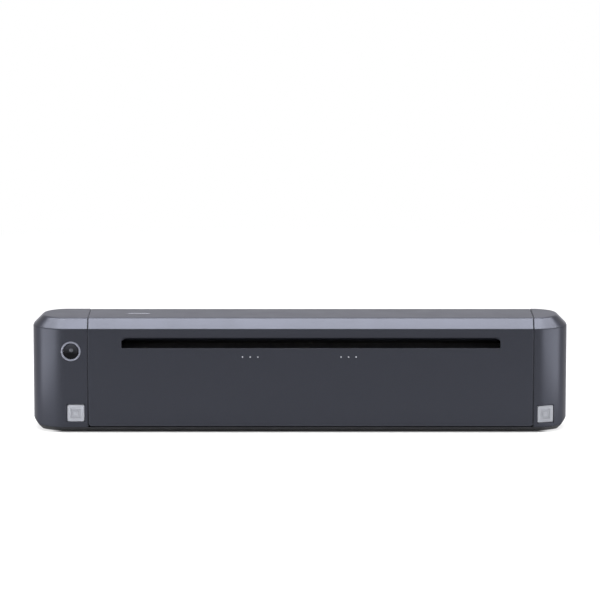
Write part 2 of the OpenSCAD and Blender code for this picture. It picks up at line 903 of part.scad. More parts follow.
module idler_post() {
  tip = gear_plane_2 + gear_t2 + 0.6;
  color(steel) union() {
    x_rod(idler_post_r, plate_r0 - 0.6, tip, idler_y, idler_z);
    x_rod(3, plate_r0 - 0.6, plate_r0, idler_y, idler_z);
    x_rod(3, plate_r1, gear_plane_1 - 0.1, idler_y, idler_z);
    x_rod(2.6, tip - 0.4, tip, idler_y, idler_z);
  }
}

module idler_gear() {
  color(gear_white) union() {
    gear(idler_big_teeth, 0, idler_post_r + run_gap, gear_plane_1, gear_t1, idler_y, idler_z);
    gear(idler_small_teeth, 0, idler_post_r + run_gap, gear_plane_1 + gear_t1 - eps,
         gear_plane_2 + gear_t2 - gear_plane_1 - gear_t1 + eps, idler_y, idler_z);
  }
}

module stepper_motor() {
  back = plate_r0 - motor_len;
  color(steel) difference() {
    union() {
      x_rod(motor_r, back, plate_r0, motor_y, motor_z);
      x_bar([
        [motor_y - 3, motor_z - motor_ear], [motor_y + 3, motor_z - motor_ear], [motor_y + 9, motor_z],
        [motor_y + 3, motor_z + motor_ear], [motor_y - 3, motor_z + motor_ear], [motor_y - 9, motor_z]
      ], plate_r0 - motor_flange_t, plate_r0);
      x_rod(3.5, plate_r0 - 1, plate_r1, motor_y, motor_z);
    }
    x_rod(motor_shaft_r + run_gap, back + 2, plate_r1 + 1, motor_y, motor_z);
  }
}

module motor_shaft() {
  color(steel) x_rod(motor_shaft_r, plate_r0 - motor_len + 3, gear_plane_1 + 4, motor_y, motor_z);
}

module motor_pinion() {
  color(brass) gear(motor_teeth, meshed_phase(to_motor, idler_big_teeth, motor_teeth), motor_shaft_r,
                    gear_plane_1 - 0.3, gear_t1 + 0.8, motor_y, motor_z);
}

// ---------------------------------------------------------------- power and control

module battery_holder() {
  x0 = cell_xs[0] - 2;
  x1 = cell_xs[1] + cell_len + 2;
  color(inner_black) difference() {
    block(x0, x1, cell_y - cell_r + 0.6, cell_y + cell_r - 0.6, tray_top, cell_z - 2);
    for (x = cell_xs)
      x_rod(cell_r, x, x + cell_len, cell_y, cell_z);
  }
}

module battery_cell(x) {
  cap_len = 1.2;
  color(cell_blue) union() {
    x_rod(cell_r, x, x + cell_len - cap_len, cell_y, cell_z);
    x_rod(3, x + cell_len - cap_len - eps, x + cell_len, cell_y, cell_z);
  }
}

module battery_cell_left() {
  battery_cell(cell_xs[0]);
}

module battery_cell_right() {
  battery_cell(cell_xs[1]);
}

module main_board() {
  color(board_green) difference() {
    block(board_l, board_r, board_y, board_y + board_t, board_z0, board_z1);
    for (x = board_hole_xs, z = board_hole_zs)
      y_rod(screw_r + 0.1, board_y - 1, board_y + board_t + 1, x, z);
  }
}

// Processor, driver chips, capacitors and sockets on the board's front
module board_parts() {
  chips = [[-60, 12, 1.4], [-38, 8, 1.2], [-4, 14, 1.6], [26, 8, 1.2], [44, 8, 1.2]];
  color(inner_black) for (c = chips)
    block(c[0], c[0] + c[1], board_y - c[2], board_y, 14, 14 + c[1]);
  color(steel) for (x = [-86, -76])
    y_rod(4, board_y - 9, board_y, x, 24);
  color(gear_white) for (x = [-20, 62])
    block(x, x + 10, board_y - 4.5, board_y, 27, 32);
}

module board_screws() {
  color(steel) for (x = board_hole_xs, z = board_hole_zs)
    translate([x, board_y, z]) rotate([-90, 0, 0]) screw(5);
}

// Charging socket on the back of the board, reaching the rear panel
module usb_socket() {
  skin = 0.35;
  color(steel) union() {
    difference() {
      usb_form(board_y + board_t, half_d - 0.3, 0);
      usb_form(board_y + board_t + 1, half_d + 1, -skin);
    }
    block(usb_x - 3, usb_x + 3, board_y + board_t, half_d - 1.2, usb_z - 0.35, usb_z + 0.35);
  }
}

// ---------------------------------------------------------------- cover magnets

module magnet_holders() {
  front = -inner_y + keeper_t + 0.5;
  color(inner_black) for (x = magnet_xs) difference() {
    block(x - 4.5, x + 4.5, front, front + 7, tray_top, magnet_z + 4.5);
    block(x - magnet_size / 2, x + magnet_size / 2, front - 1, front + 5,
          magnet_z - magnet_size / 2, magnet_z + magnet_size / 2);
  }
}

module cover_magnets() {
  front = -inner_y + keeper_t + 0.5;
  color(steel) for (x = magnet_xs)
    block(x - magnet_size / 2, x + magnet_size / 2, front, front + 5,
          magnet_z - magnet_size / 2, magnet_z + magnet_size / 2);
}

// ---------------------------------------------------------------- button and keys

module power_ring() {
  color(ring_grey) difference() {
    union() {
      y_rod(power_ring_r, -half_d, -inner_y + 1.2, power_x, power_z);
      y_rod(power_ring_r + ring_rim, -inner_y, -inner_y + 1.2, power_x, power_z);
    }
    y_rod(power_r + key_gap, -half_d - 1, -inner_y + 3, power_x, power_z);
  }
}

// Dark round button on a stem, held in by a flange behind its ring
module power_button() {
  face = -half_d + 0.4;
  flange = -inner_y + 1.3;
  color(inner_black) union() {
    y_rod(power_r, face, flange + eps, power_x, power_z);
    y_rod(power_r + 0.8, flange, flange + 1, power_x, power_z);
    y_rod(key_stem_r, flange, power_stem_end, power_x, power_z);
  }
}

module power_switch() {
  front = left_board_y - power_switch_t;
  color(inner_black) difference() {
    block(power_x - switch_w / 2, power_x + switch_w / 2, front, left_board_y,
          power_z - switch_w / 2, power_z + switch_w / 2);
    y_rod(key_stem_r + 0.2, front - 1, power_stem_end + power_travel + 0.4, power_x, power_z);
  }
}

// Square window in the casing wall round a key
module key_window(x, y) {
  half = key_size / 2 + key_gap;
  block(x - half, x + half, y - half_d - 1, y - inner_y + 3, key_z - half, key_z + half);
}

// Stands a piece that is drawn for a flat wall on the right corner's curve
module on_right_corner() {
  translate([corner_x, -corner_y, -key_r_drop]) rotate([0, 0, key_r_turn]) children();
}

// Key seen from outside: face, retaining flange above and below, and stem.
// Drawn with the wall's outer face at y = 0 and the key's centre at x = 0.
module key(face) {
  half = key_size / 2;
  y_at = key_flange_y + 0.7;
  block(-half, half, face, key_t, key_z - half, key_z + half);
  block(-half + 2, half - 2, key_t - eps, y_at, key_z - half, key_z + half);
  block(-3, 3, key_flange_y, y_at, key_z - flange_far, key_z + flange_far);
  y_rod(key_stem_r, y_at - eps, key_switch_y + 1.2, 0, key_z);
}

module key_switch() {
  difference() {
    block(-switch_w / 2, switch_w / 2, key_switch_y, key_switch_y + 2.2,
          key_z - switch_w / 2, key_z + switch_w / 2);
    y_rod(key_stem_r + 0.2, key_switch_y - 1, key_switch_y + 1.2 + key_travel + 0.2, 0, key_z);
  }
}

module left_key() {
  color(key_silver) translate([key_l_x, -half_d, 0]) key(key_face_l);
}

module left_key_switch() {
  color(inner_black) union() {
    translate([key_l_x, -half_d, 0]) key_switch();
    block(key_l_x - 2, key_l_x + 2, -half_d + key_switch_y + 2.2, left_board_y,
          key_z - 2, key_z + 2);
  }
}

// Upright board behind the power button and the left key
module left_key_board() {
  color(board_green) block(power_x - 4.5, power_x + 5.5, left_board_y, left_board_y + key_board_t,
                           6, power_z + 5);
}

module right_key() {
  color(key_silver) on_right_corner() translate([0, -corner_r, 0]) key(key_face_r);
}

module right_key_switch() {
  color(inner_black) on_right_corner() translate([0, -corner_r, 0]) key_switch();
}

module right_key_board() {
  color(board_green) on_right_corner()
    block(-3, 5, -key_board_far, -key_board_far + key_board_t, key_z - 5.5, 30);
}

// ---------------------------------------------------------------- feet and screws

module foot_form(x, y, z0, z1) {
  half_len = 8;
  r = 3.5;
  block(x - half_len, x + half_len, y - r, y + r, z0, z1);
  for (end = [x - half_len, x + half_len])
    z_rod(r, z0, z1, end, y);
}

module rubber_feet() {
  color(rubber_black) for (x = foot_xs, y = foot_ys)
    foot_form(x, y, 0, floor_z + 0.5);
}

module tray_screws() {
  color(steel) {
    for (x = cap_boss_xs) translate([x, 0, floor_z + 1.3]) screw(8);
    for (x = panel_boss_xs) translate([x, panel_boss_y, floor_z + 1.3]) screw(8);
  }
}

front_cover();
status_light();
tear_bar();
cover_keepers();
head_clips();
print_head();
heat_sink();
head_bracket();
head_spring_left();
head_spring_right();
base_tray();
rear_panel();
end_cap_left();
end_cap_right();
side_plate_left();
side_plate_right();
cross_beam();
plate_screws();
seam_seals();
hinge_pin_left();
hinge_pin_right();
front_guide();
rear_guide();
flag_pin();
paper_flag();
paper_sensor();
platen_roller();
platen_shaft();
platen_gear();
platen_bush_left();
platen_bush_right();
idler_post();
idler_gear();
stepper_motor();
motor_shaft();
motor_pinion();
battery_holder();
battery_cell_left();
battery_cell_right();
main_board();
board_parts();
board_screws();
usb_socket();
magnet_holders();
cover_magnets();
power_ring();
power_button();
power_switch();
left_key();
left_key_switch();
left_key_board();
right_key();
right_key_switch();
right_key_board();
rubber_feet();
tray_screws();
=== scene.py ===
import json
import math

import bmesh
import bpy
from mathutils import Matrix, Vector


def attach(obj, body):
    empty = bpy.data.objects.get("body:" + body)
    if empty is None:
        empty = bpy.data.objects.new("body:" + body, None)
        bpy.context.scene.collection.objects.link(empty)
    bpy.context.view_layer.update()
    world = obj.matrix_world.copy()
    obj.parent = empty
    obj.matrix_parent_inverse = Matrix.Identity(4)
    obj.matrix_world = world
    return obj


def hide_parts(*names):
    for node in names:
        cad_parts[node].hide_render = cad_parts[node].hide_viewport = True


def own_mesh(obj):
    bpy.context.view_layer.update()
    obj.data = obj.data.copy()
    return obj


bl_info = {
    "name": "Portable Printer Dresser",
    "version": (1, 0, 0),
    "blender": (4, 5, 0),
    "location": "3D View > Sidebar > Printer",
    "description": "Dresses the A4 portable printer: casing, print head, drive, boards and stage",
    "category": "Object",
}

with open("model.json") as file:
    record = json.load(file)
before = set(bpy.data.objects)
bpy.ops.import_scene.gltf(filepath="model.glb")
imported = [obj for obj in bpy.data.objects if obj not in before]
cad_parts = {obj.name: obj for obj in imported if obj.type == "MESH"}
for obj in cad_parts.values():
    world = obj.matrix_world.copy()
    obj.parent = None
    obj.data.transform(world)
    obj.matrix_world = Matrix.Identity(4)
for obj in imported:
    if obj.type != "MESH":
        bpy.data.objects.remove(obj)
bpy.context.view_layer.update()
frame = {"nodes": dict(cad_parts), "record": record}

MM = 0.001

# Where the casing's forms lie, in millimetres
TOP_Z = 67.2
CHAMFER_Z = 61.2
FRONT_Y = -24.0
SLOT_X = (-104.3, 117.1)
POWER_CENTRE = (-134.0, 0, 48.1)


def tone(red, green, blue):
    """The linear colour of a screen colour given as 0 to 255."""
    out = []
    for value in (red, green, blue):
        part = value / 255
        out.append(part / 12.92 if part <= 0.04045 else ((part + 0.055) / 1.055) ** 2.4)
    return tuple(out)


def colour_property(name, description, rgb):
    return bpy.props.FloatVectorProperty(
        name=name, description=description, subtype="COLOR", size=3, min=0, max=1,
        default=tone(*rgb),
    )


def length_property(name, description, millimetres, low, high):
    return bpy.props.FloatProperty(
        name=name, description=description, subtype="DISTANCE", unit="LENGTH",
        default=millimetres * MM, min=low * MM, max=high * MM,
    )


class PrinterCasingSettings(bpy.types.PropertyGroup):
    """Sizes and colours of the outer casing."""

    upper_rounding: length_property(
        "Upper rounding", "Rounding where the sloped edge meets the top", 1.1, 0.1, 2.5
    )
    lower_rounding: length_property(
        "Lower rounding", "Rounding where the sloped edge meets the front", 0.35, 0.1, 2
    )
    lip_rounding: length_property("Lip rounding", "Rounding of the slot's upper lip", 1.3, 0.1, 1.8)
    edge_rounding: length_property(
        "Edge rounding", "Rounding of the seams, the slot and the holes", 0.3, 0.05, 0.4
    )
    paint: colour_property("Paint", "Metallic grey paint of the casing", (44, 46, 54))
    tray: colour_property("Tray", "Colour of the base tray", (25, 26, 30))
    light_bar: colour_property("Light bar", "Colour of the status light", (128, 130, 138))


class PrinterControlSettings(bpy.types.PropertyGroup):
    """Sizes and colours of the button and the keys."""

    key_rounding: length_property(
        "Key rounding", "Rounding of the edges of the keys", 0.35, 0.1, 0.8
    )
    dish_depth: length_property(
        "Dish depth", "Depth of the hollow in the power button", 0.35, 0, 0.6
    )
    button: colour_property("Button", "Colour of the power button", (3, 3, 6))
    ring: colour_property("Ring", "Colour of the ring round the power button", (114, 116, 128))
    left_key: colour_property("Left key", "Colour of the left key", (153, 155, 162))
    # Painted shade: the right key is the same part as the left key, given a darker colour
    right_key: colour_property("Right key", "Colour of the right key", (137, 139, 145))


class PrinterInsideSettings(bpy.types.PropertyGroup):
    """Sizes and colours of the parts inside."""

    part_rounding: length_property(
        "Part rounding", "Rounding of the edges of the inner parts", 0.15, 0.02, 0.3
    )
    moulding: colour_property("Moulding", "Colour of the black inner mouldings", (34, 35, 38))
    steel: colour_property("Steel", "Colour of the steel sheet", (176, 178, 182))
    wrap: colour_property("Wrap", "Colour of the wrap of the battery cells", (44, 96, 168))
    board: colour_property("Board", "Colour of the circuit boards", (18, 84, 52))
    gear: colour_property("Gear", "Colour of the moulded gears", (226, 222, 208))


class PrinterStageSettings(bpy.types.PropertyGroup):
    """Camera, lamps and floor."""

    elevation: bpy.props.FloatProperty(
        name="Elevation", description="How far the camera stands above the level of the printer",
        subtype="ANGLE", unit="ROTATION", default=math.radians(8.48), min=0, max=math.radians(60),
    )
    distance: bpy.props.FloatProperty(
        name="Distance", description="Distance from the camera to the front of the printer",
        subtype="DISTANCE", unit="LENGTH", default=2.3, min=0.5, max=20,
    )
    view_width: bpy.props.FloatProperty(
        name="View width", description="Width of the picture at the front of the printer",
        subtype="DISTANCE", unit="LENGTH", default=0.3499, min=0.1, max=2,
    )
    lamp_level: bpy.props.FloatProperty(
        name="Lamp level", description="Strength of all the lamps together",
        default=1.0, min=0, max=4,
    )
    floor: colour_property("Floor", "Colour of the floor", (246, 246, 247))


# ---------------------------------------------------------------- materials


class Finish:
    """A procedural material on Object coordinates, built up step by step."""

    def __init__(self, name, metallic=0.0, specular=0.5, coat=0.0, coat_roughness=0.1):
        self.material = bpy.data.materials.new(name)
        self.material.use_nodes = True
        self.tree = self.material.node_tree
        self.shader = self.tree.nodes["Principled BSDF"]
        self.shader.inputs["Metallic"].default_value = metallic
        self.shader.inputs["Specular IOR Level"].default_value = specular
        self.shader.inputs["Coat Weight"].default_value = coat
        self.shader.inputs["Coat Roughness"].default_value = coat_roughness
        self.place = self.tree.nodes.new("ShaderNodeTexCoord").outputs["Object"]

    def node(self, kind, inputs=None, **settings):
        made = self.tree.nodes.new(kind)
        for key, value in settings.items():
            setattr(made, key, value)
        for key, value in (inputs or {}).items():
            self.put(made.inputs[key], value)
        return made

    def put(self, socket, value):
        if isinstance(value, bpy.types.NodeSocket):
            self.tree.links.new(value, socket)
        else:
            socket.default_value = value

    def mapped(self, stretch=(1, 1, 1), turn=(0, 0, 0)):
        """Object coordinates, turned and stretched."""
        return self.node(
            "ShaderNodeMapping", {"Vector": self.place, "Rotation": turn, "Scale": stretch}
        ).outputs[0]

    def noise(self, per_metre, detail, rough=0.5, where=None):
        inputs = {"Vector": where or self.place, "Scale": per_metre}
        inputs.update({"Detail": detail, "Roughness": rough})
        return self.node("ShaderNodeTexNoise", inputs).outputs["Fac"]

    def spread(self, value, low, high, start=0.3, end=0.7):
        """Value from start to end, spread over low to high."""
        return self.node(
            "ShaderNodeMapRange",
            {"Value": value, "From Min": start, "From Max": end, "To Min": low, "To Max": high},
        ).outputs[0]

    def mix(self, share, first, second):
        """A blend of two colours, each a node's output or three numbers."""
        made = self.node("ShaderNodeMix", {0: share}, data_type="RGBA")
        for index, value in ((6, first), (7, second)):
            if not isinstance(value, bpy.types.NodeSocket):
                value = (*value, 1)
            self.put(made.inputs[index], value)
        return made.outputs[2]

    def math(self, operation, *values):
        return self.node("ShaderNodeMath", dict(enumerate(values)), operation=operation).outputs[0]

    def measure(self, operation, *vectors):
        """The number that an operation on vectors gives."""
        inputs = dict(enumerate(vectors))
        return self.node("ShaderNodeVectorMath", inputs, operation=operation).outputs["Value"]

    def edges(self, radius):
        """1 along worn edges and 0 elsewhere."""
        bent = self.node("ShaderNodeBevel", {"Radius": radius}, samples=4).outputs[0]
        flat = self.node("ShaderNodeNewGeometry").outputs["Normal"]
        worn, whole = 0.65, 0.995
        return self.spread(self.measure("DOT_PRODUCT", bent, flat), 1.0, 0.0, worn, whole)

    def bump(self, height, depth, strength, under=None):
        inputs = {"Height": height, "Distance": depth, "Strength": strength}
        if under:
            inputs["Normal"] = under
        return self.node("ShaderNodeBump", inputs).outputs[0]

    def finish(self, colour, roughness, normal=None):
        self.put(self.shader.inputs["Base Color"], colour)
        self.put(self.shader.inputs["Roughness"], roughness)
        if normal:
            self.put(self.shader.inputs["Normal"], normal)
        return self.material


def shade(colour, factor):
    return tuple(min(1.0, part * factor) for part in colour)


def moulded(name, colour, rough, grain=1500, depth=0.02, wear=1.25):
    """Moulded plastic with a spark-eroded grain, slow changes of tone and rubbed edges."""
    look = Finish(name, specular=0.4)
    slow = look.noise(18, 2)
    fine = look.noise(grain, 3, 0.6)
    body = look.mix(look.spread(slow, 0, 1), shade(colour, 0.95), shade(colour, 1.05))
    rubbed = look.mix(look.edges(0.5 * MM), body, shade(colour, wear))
    rub = look.spread(look.noise(160, 3), rough - 0.04, rough + 0.05)
    return look.finish(rubbed, rub, look.bump(fine, depth * MM, 0.5))


def painted(name, colour, lip=False):
    """Metallic paint: fine flakes under a satin skin, a faint orange peel, and painted shade on the
    slot's lip if lip is set.
    """
    rough, specular, coat = 0.31, 0.5, 0.32
    look = Finish(name, metallic=0.78, specular=specular, coat=coat, coat_roughness=0.28)
    look.shader.inputs["Specular Tint"].default_value = (0.26, 0.26, 0.36, 1)
    flakes = look.node(
        "ShaderNodeTexVoronoi", {"Vector": look.place, "Scale": 4200.0, "Randomness": 1.0}
    ).outputs["Color"]
    flake = look.node("ShaderNodeSeparateColor", {"Color": flakes}).outputs[0]
    slow = look.noise(9, 2)
    body = look.mix(look.spread(flake, 0, 1, 0, 1), shade(colour, 0.93), shade(colour, 1.07))
    body = look.mix(look.spread(slow, 0, 0.5), body, shade(colour, 0.96))
    rubbed = look.mix(look.math("MULTIPLY", look.edges(0.6 * MM), 0.35), body, shade(colour, 1.5))
    rub = look.spread(look.noise(70, 4), rough - 0.025, rough + 0.03)
    peel = look.bump(look.noise(420, 2), 0.012 * MM, 0.35)
    if lip:
        # Painted shade: the slot's upper lip is painted near black and loses its reflection, fading
        # upwards and past the slot's ends
        dark = slot_shade(look)
        rubbed = look.mix(dark, rubbed, (0.001, 0.001, 0.002))
        light = look.math("SUBTRACT", 1.0, dark)
        for socket, most in (("Specular IOR Level", specular), ("Coat Weight", coat)):
            look.put(look.shader.inputs[socket], look.math("MULTIPLY", light, most))
    return look.finish(rubbed, rub, look.bump(look.noise(2600, 2), 0.006 * MM, 0.5, peel))


def slot_shade(look):
    """1 where painted shade darkens the slot's upper lip, fading to 0 above it and past its ends.
    """
    x, _, z = look.node("ShaderNodeSeparateXYZ", {0: look.place}).outputs
    left, right = SLOT_X
    across = look.math("ABSOLUTE", look.math("SUBTRACT", x, (left + right) / 2 * MM))
    half = (right - left) / 2
    slot_middle, lip_bottom, lip_top = 52, 53.7, 57
    rise = look.spread(z, 0, 1, lip_bottom * MM, lip_top * MM)
    fade = look.math("SUBTRACT", 1.0, look.math("POWER", rise, 1.1))
    ends = look.spread(across, 1, 0, (half - 1.5) * MM, (half + 0.3) * MM)
    above = look.math("GREATER_THAN", z, slot_middle * MM)
    return look.math("MULTIPLY", look.math("MULTIPLY", fade, ends), above)


def sheet_metal(name, colour, rough=0.32, stretch=(1 / 24, 1, 1), grain=900):
    """Rolled or ground metal: long fine lines along one axis and a few faint stains."""
    look = Finish(name, metallic=1.0)
    lines = look.noise(grain, 4, 0.65, look.mapped(stretch))
    stain = look.noise(45, 4)
    body = look.mix(look.spread(stain, 0, 1), shade(colour, 0.86), colour)
    body = look.mix(look.spread(lines, 0, 0.5), body, shade(colour, 1.12))
    rubbed = look.mix(look.math("MULTIPLY", look.edges(0.3 * MM), 0.6), body, shade(colour, 1.25))
    cloudy = look.spread(stain, rough - 0.05, rough + 0.08)
    rub = look.math("ADD", cloudy, look.spread(lines, -0.05, 0.05))
    return look.finish(rubbed, rub, look.bump(lines, 0.01 * MM, 0.35))


def rubber(name, colour, rough):
    """Ground rubber: a matt, slightly dusty skin."""
    look = Finish(name, specular=0.25)
    dust = look.noise(55, 5, 0.6)
    body = look.mix(look.spread(dust, 0, 0.8, 0.45, 0.75), colour, shade(colour, 1.7))
    rub = look.spread(dust, rough - 0.08, rough + 0.08)
    return look.finish(body, rub, look.bump(look.noise(1100, 3), 0.03 * MM, 0.6))


def glazed(name, colour, rough, coat):
    """A smooth, hard, glossy skin with faint waves."""
    look = Finish(name, specular=0.5, coat=coat, coat_roughness=0.08)
    slow = look.noise(60, 3)
    body = look.mix(look.spread(slow, 0, 1), shade(colour, 0.9), shade(colour, 1.1))
    rubbed = look.mix(look.math("MULTIPLY", look.edges(0.2 * MM), 0.5), body, shade(colour, 1.5))
    rub = look.spread(look.noise(420, 4), rough - 0.04, rough + 0.06)
    return look.finish(rubbed, rub, look.bump(slow, 0.02 * MM, 0.2))


def key_plastic(name, colour, outward, front):
    """Satin plastic, with painted shade at the bottom of the hollow in a key's face."""
    look = Finish(name, specular=0.3)
    height = look.measure("DOT_PRODUCT", look.place, outward)
    # Painted shade: 1 at the bottom of the hollow, fading to 0 up its sides
    hollow = look.spread(height, 1, 0, front - 0.42 * MM, front - 0.12 * MM)
    slow = look.noise(90, 2)
    body = look.mix(look.spread(slow, 0, 1), shade(colour, 0.96), shade(colour, 1.04))
    # The painted shade darkens the bottom of the hollow
    body = look.mix(hollow, body, shade(colour, 0.89))
    rubbed = look.mix(look.edges(0.4 * MM), body, shade(colour, 1.12))
    rub = look.spread(look.noise(160, 3), 0.45, 0.55)
    return look.finish(rubbed, rub, look.bump(look.noise(1800, 3), 0.01 * MM, 0.5))


def glossy_with_painted_reflection(name, dark, light):
    """A dark glossy face with a painted reflection, lighter towards its upper rim."""
    look = Finish(name, specular=0.12)
    z = look.node("ShaderNodeSeparateXYZ", {0: look.place}).outputs[2]
    slow = look.noise(220, 2)
    low = (POWER_CENTRE[2] - 1.5) * MM
    high = (POWER_CENTRE[2] + 4.2) * MM
    # Painted reflection: the colour runs from dark at the bottom to light towards the upper rim
    height = look.math("ADD", look.spread(z, 0, 1, low, high), look.spread(slow, -0.08, 0.08))
    body = look.mix(look.math("MINIMUM", look.math("MAXIMUM", height, 0.0), 1.0), dark, light)
    rub = look.spread(look.noise(420, 4), 0.1, 0.2)
    return look.finish(body, rub, look.bump(slow, 0.02 * MM, 0.2))


def circuit_board(name, colour):
    """Upright varnished board with tracks, via pads and woven glass under the varnish."""
    look = Finish(name, specular=0.5, coat=0.35, coat_roughness=0.18)
    flat = look.mapped(turn=(math.radians(90), 0, 0))
    black, white = (0, 0, 0, 1), (1, 1, 1, 1)
    tracks = look.node(
        "ShaderNodeTexBrick",
        {
            "Vector": flat, "Scale": 160.0, "Mortar Size": 0.03, "Mortar Smooth": 0.2,
            "Brick Width": 0.9, "Row Height": 0.22,
            "Color1": black, "Color2": black, "Mortar": white,
        },
        offset=0.37, squash=1.6, squash_frequency=3,
    ).outputs["Color"]
    weave = look.node(
        "ShaderNodeTexWave", {"Vector": flat, "Scale": 900.0, "Distortion": 0.4}, wave_type="BANDS"
    ).outputs["Fac"]
    copper = look.mix(tracks, shade(colour, 0.9), shade(colour, 1.9))
    body = look.mix(look.spread(weave, 0, 0.25, 0, 1), copper, shade(colour, 0.7))
    dots = look.node(
        "ShaderNodeTexVoronoi", {"Vector": flat, "Scale": 330.0, "Randomness": 0.85}
    ).outputs["Distance"]
    pads = look.spread(dots, 1, 0, 0.08, 0.12)
    body = look.mix(pads, body, tone(196, 168, 104))
    rub = look.spread(look.noise(300, 3), 0.28, 0.42)
    raised = look.bump(tracks, 0.03 * MM, 0.5)
    return look.finish(body, rub, look.bump(pads, 0.04 * MM, 0.5, raised))


# ---------------------------------------------------------------- shaping

BEHAVIOUR = frame["record"]["behaviour"]
BODY_OF = {node: body for body, nodes in BEHAVIOUR["bodies"].items() for node in nodes}
AXIS_OF = {joint["child"]: Vector(joint["axis"]) for joint in BEHAVIOUR["joints"]}


def joined_copy(node):
    """The CAD node's shape as a bmesh, with its triangles joined and its flat faces made whole."""
    bm = bmesh.new()
    bm.from_mesh(frame["nodes"][node].data)
    bmesh.ops.remove_doubles(bm, verts=bm.verts, dist=0.002 * MM)
    bmesh.ops.dissolve_limit(
        bm, angle_limit=math.radians(0.3), verts=bm.verts, edges=bm.edges,
        use_dissolve_boundaries=False,
    )
    return bm


def round_edges(bm, edges, width, segments):
    """Rounds edges, and marks the new faces as weak so that flat faces keep their shading."""
    if edges:
        bmesh.ops.bevel(
            bm, geom=edges, offset=width, offset_type="OFFSET", segments=segments,
            profile=0.5, affect="EDGES", clamp_overlap=False, loop_slide=False, material=-1,
            face_strength_mode="ALL",
        )


def sharp_edges(bm, least=35.0):
    """Edges between two faces that meet at more than a small angle."""
    limit = math.radians(least)
    return [e for e in bm.edges if len(e.link_faces) == 2 and e.calc_face_angle(0) > limit]


def at_height(edge, z, slack=0.02):
    return all(abs(v.co.z / MM - z) < slack for v in edge.verts)


def turned(profile, axis, centre, steps=48, closed=False):
    """A turned shape. The profile's points are (distance along the axis, radius) in millimetres."""
    axis = Vector(axis)
    side = Vector((1, 0, 0)) if abs(axis.z) > 0.5 else Vector((0, 0, 1))
    centre = Vector(centre) * MM
    bm = bmesh.new()
    verts = [
        bm.verts.new(centre + (axis * along + side * radius) * MM) for along, radius in profile
    ]
    pairs = list(zip(verts, verts[1:])) + ([(verts[-1], verts[0])] if closed else [])
    edges = [bm.edges.new(pair) for pair in pairs]
    bmesh.ops.spin(
        bm, geom=verts + edges, cent=centre, axis=axis, angle=math.tau, steps=steps,
        use_merge=True,
    )
    bmesh.ops.remove_doubles(bm, verts=bm.verts, dist=0.001 * MM)
    bmesh.ops.recalc_face_normals(bm, faces=bm.faces)
    return bm


def blocks(boxes, rounding, segments=2):
    """Rounded boxes as one shape. Each box is two corners in millimetres."""
    bm = bmesh.new()
    for corners in boxes:
        low, high = map(Vector, corners)
        middle = Matrix.LocRotScale((low + high) / 2 * MM, None, (high - low) * MM)
        bmesh.ops.create_cube(bm, size=1.0, matrix=middle)
    round_edges(bm, list(bm.edges), rounding, segments)
    return bm


def place(name, bm, finish, body, replaced=(), smooth_angle=40.0):
    """Turns a bmesh into a finished piece that rides on a body."""
    mesh = bpy.data.meshes.new(name)
    bm.to_mesh(mesh)
    bm.free()
    mesh.materials.append(bpy.data.materials[finish])
    mesh.shade_smooth()
    mesh.set_sharp_from_angle(angle=math.radians(smooth_angle))
    piece = bpy.data.objects.new(name, mesh)
    bpy.context.scene.collection.objects.link(piece)
    level = piece.modifiers.new("even_normals", "WEIGHTED_NORMAL")
    level.keep_sharp = True
    level.use_face_influence = True
    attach(piece, body)
    if replaced:
        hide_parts(*replaced)
    return piece


def stand_in(name, node, bm, finish, smooth_angle=40.0):
    """A piece that takes the place of one CAD node."""
    return place(name, bm, finish, BODY_OF[node], (node,), smooth_angle)


def softened(name, node, finish, width, segments=2):
    """A copy of one CAD node with rounded edges."""
    bm = joined_copy(node)
    round_edges(bm, sharp_edges(bm), width, segments)
    return stand_in(name, node, bm, finish)


def keep(node, finish):
    """A CAD node that stays as it is and gets a finish."""
    mesh = frame["nodes"][node].data
    mesh.materials.clear()
    mesh.materials.append(bpy.data.materials[finish])


# ---------------------------------------------------------------- pieces


class PRINTER_OT_finishes(bpy.types.Operator):
    """Makes the materials that the pieces share"""

    bl_idname = "printer.finishes"
    bl_label = "Finishes"

    def execute(self, context):
        casing = context.scene.printer_casing
        inside = context.scene.printer_inside
        control = context.scene.printer_controls
        steel = tuple(inside.steel)
        painted("casing_paint", tuple(casing.paint))
        # This finish also carries the painted shade on the slot's upper lip
        painted("cover_paint", tuple(casing.paint), lip=True)
        moulded("tray_plastic", tuple(casing.tray), 0.55)
        moulded("inner_plastic", tuple(inside.moulding), 0.6, 1100, 0.04)
        moulded("gear_plastic", tuple(inside.gear), 0.4, 900, 0.01, wear=1.05)
        moulded("chip_plastic", tone(30, 30, 32), 0.5, 1800, 0.03)
        moulded("plug_plastic", tone(214, 210, 196), 0.45, 900, 0.01, wear=1.05)
        moulded("small_chip_ceramic", tone(120, 96, 66), 0.4, 1800, 0.01)
        moulded("print_ink", tone(166, 168, 176), 0.5, 1800, 0.005, wear=1.0)
        moulded("ring_plastic", tuple(control.ring), 0.38, 1800, 0.01)
        # The second colour is the painted reflection on the button's upper rim
        glossy_with_painted_reflection("button_gloss", tuple(control.button), tone(46, 47, 53))
        glazed("lens_gloss", tone(58, 60, 68), 0.26, 0.1)
        glazed("light_gloss", tuple(casing.light_bar), 0.5, 0.0)
        glazed("head_glaze", tone(228, 222, 206), 0.22, 0.3)
        glazed("heater_glaze", tone(92, 58, 40), 0.12, 0.6)
        glazed("driver_resin", tone(26, 26, 28), 0.35, 0.2)
        glazed("cell_wrap", tuple(inside.wrap), 0.24, 0.5)
        sheet_metal("steel_sheet", steel)
        sheet_metal("steel_ground", shade(steel, 1.1), 0.2, (1, 1 / 24, 1 / 24), 700)
        sheet_metal("motor_can", shade(steel, 0.85), 0.4)
        sheet_metal("aluminium", tone(200, 202, 206), 0.42)
        sheet_metal("brass", tone(201, 164, 92), 0.26)
        rubber("platen_rubber", tone(40, 40, 42), 0.78)
        rubber("foot_rubber", tone(24, 24, 25), 0.86)
        rubber("seal_rubber", tone(50, 52, 58), 0.7)
        circuit_board("board_varnish", tuple(inside.board))
        return {"FINISHED"}


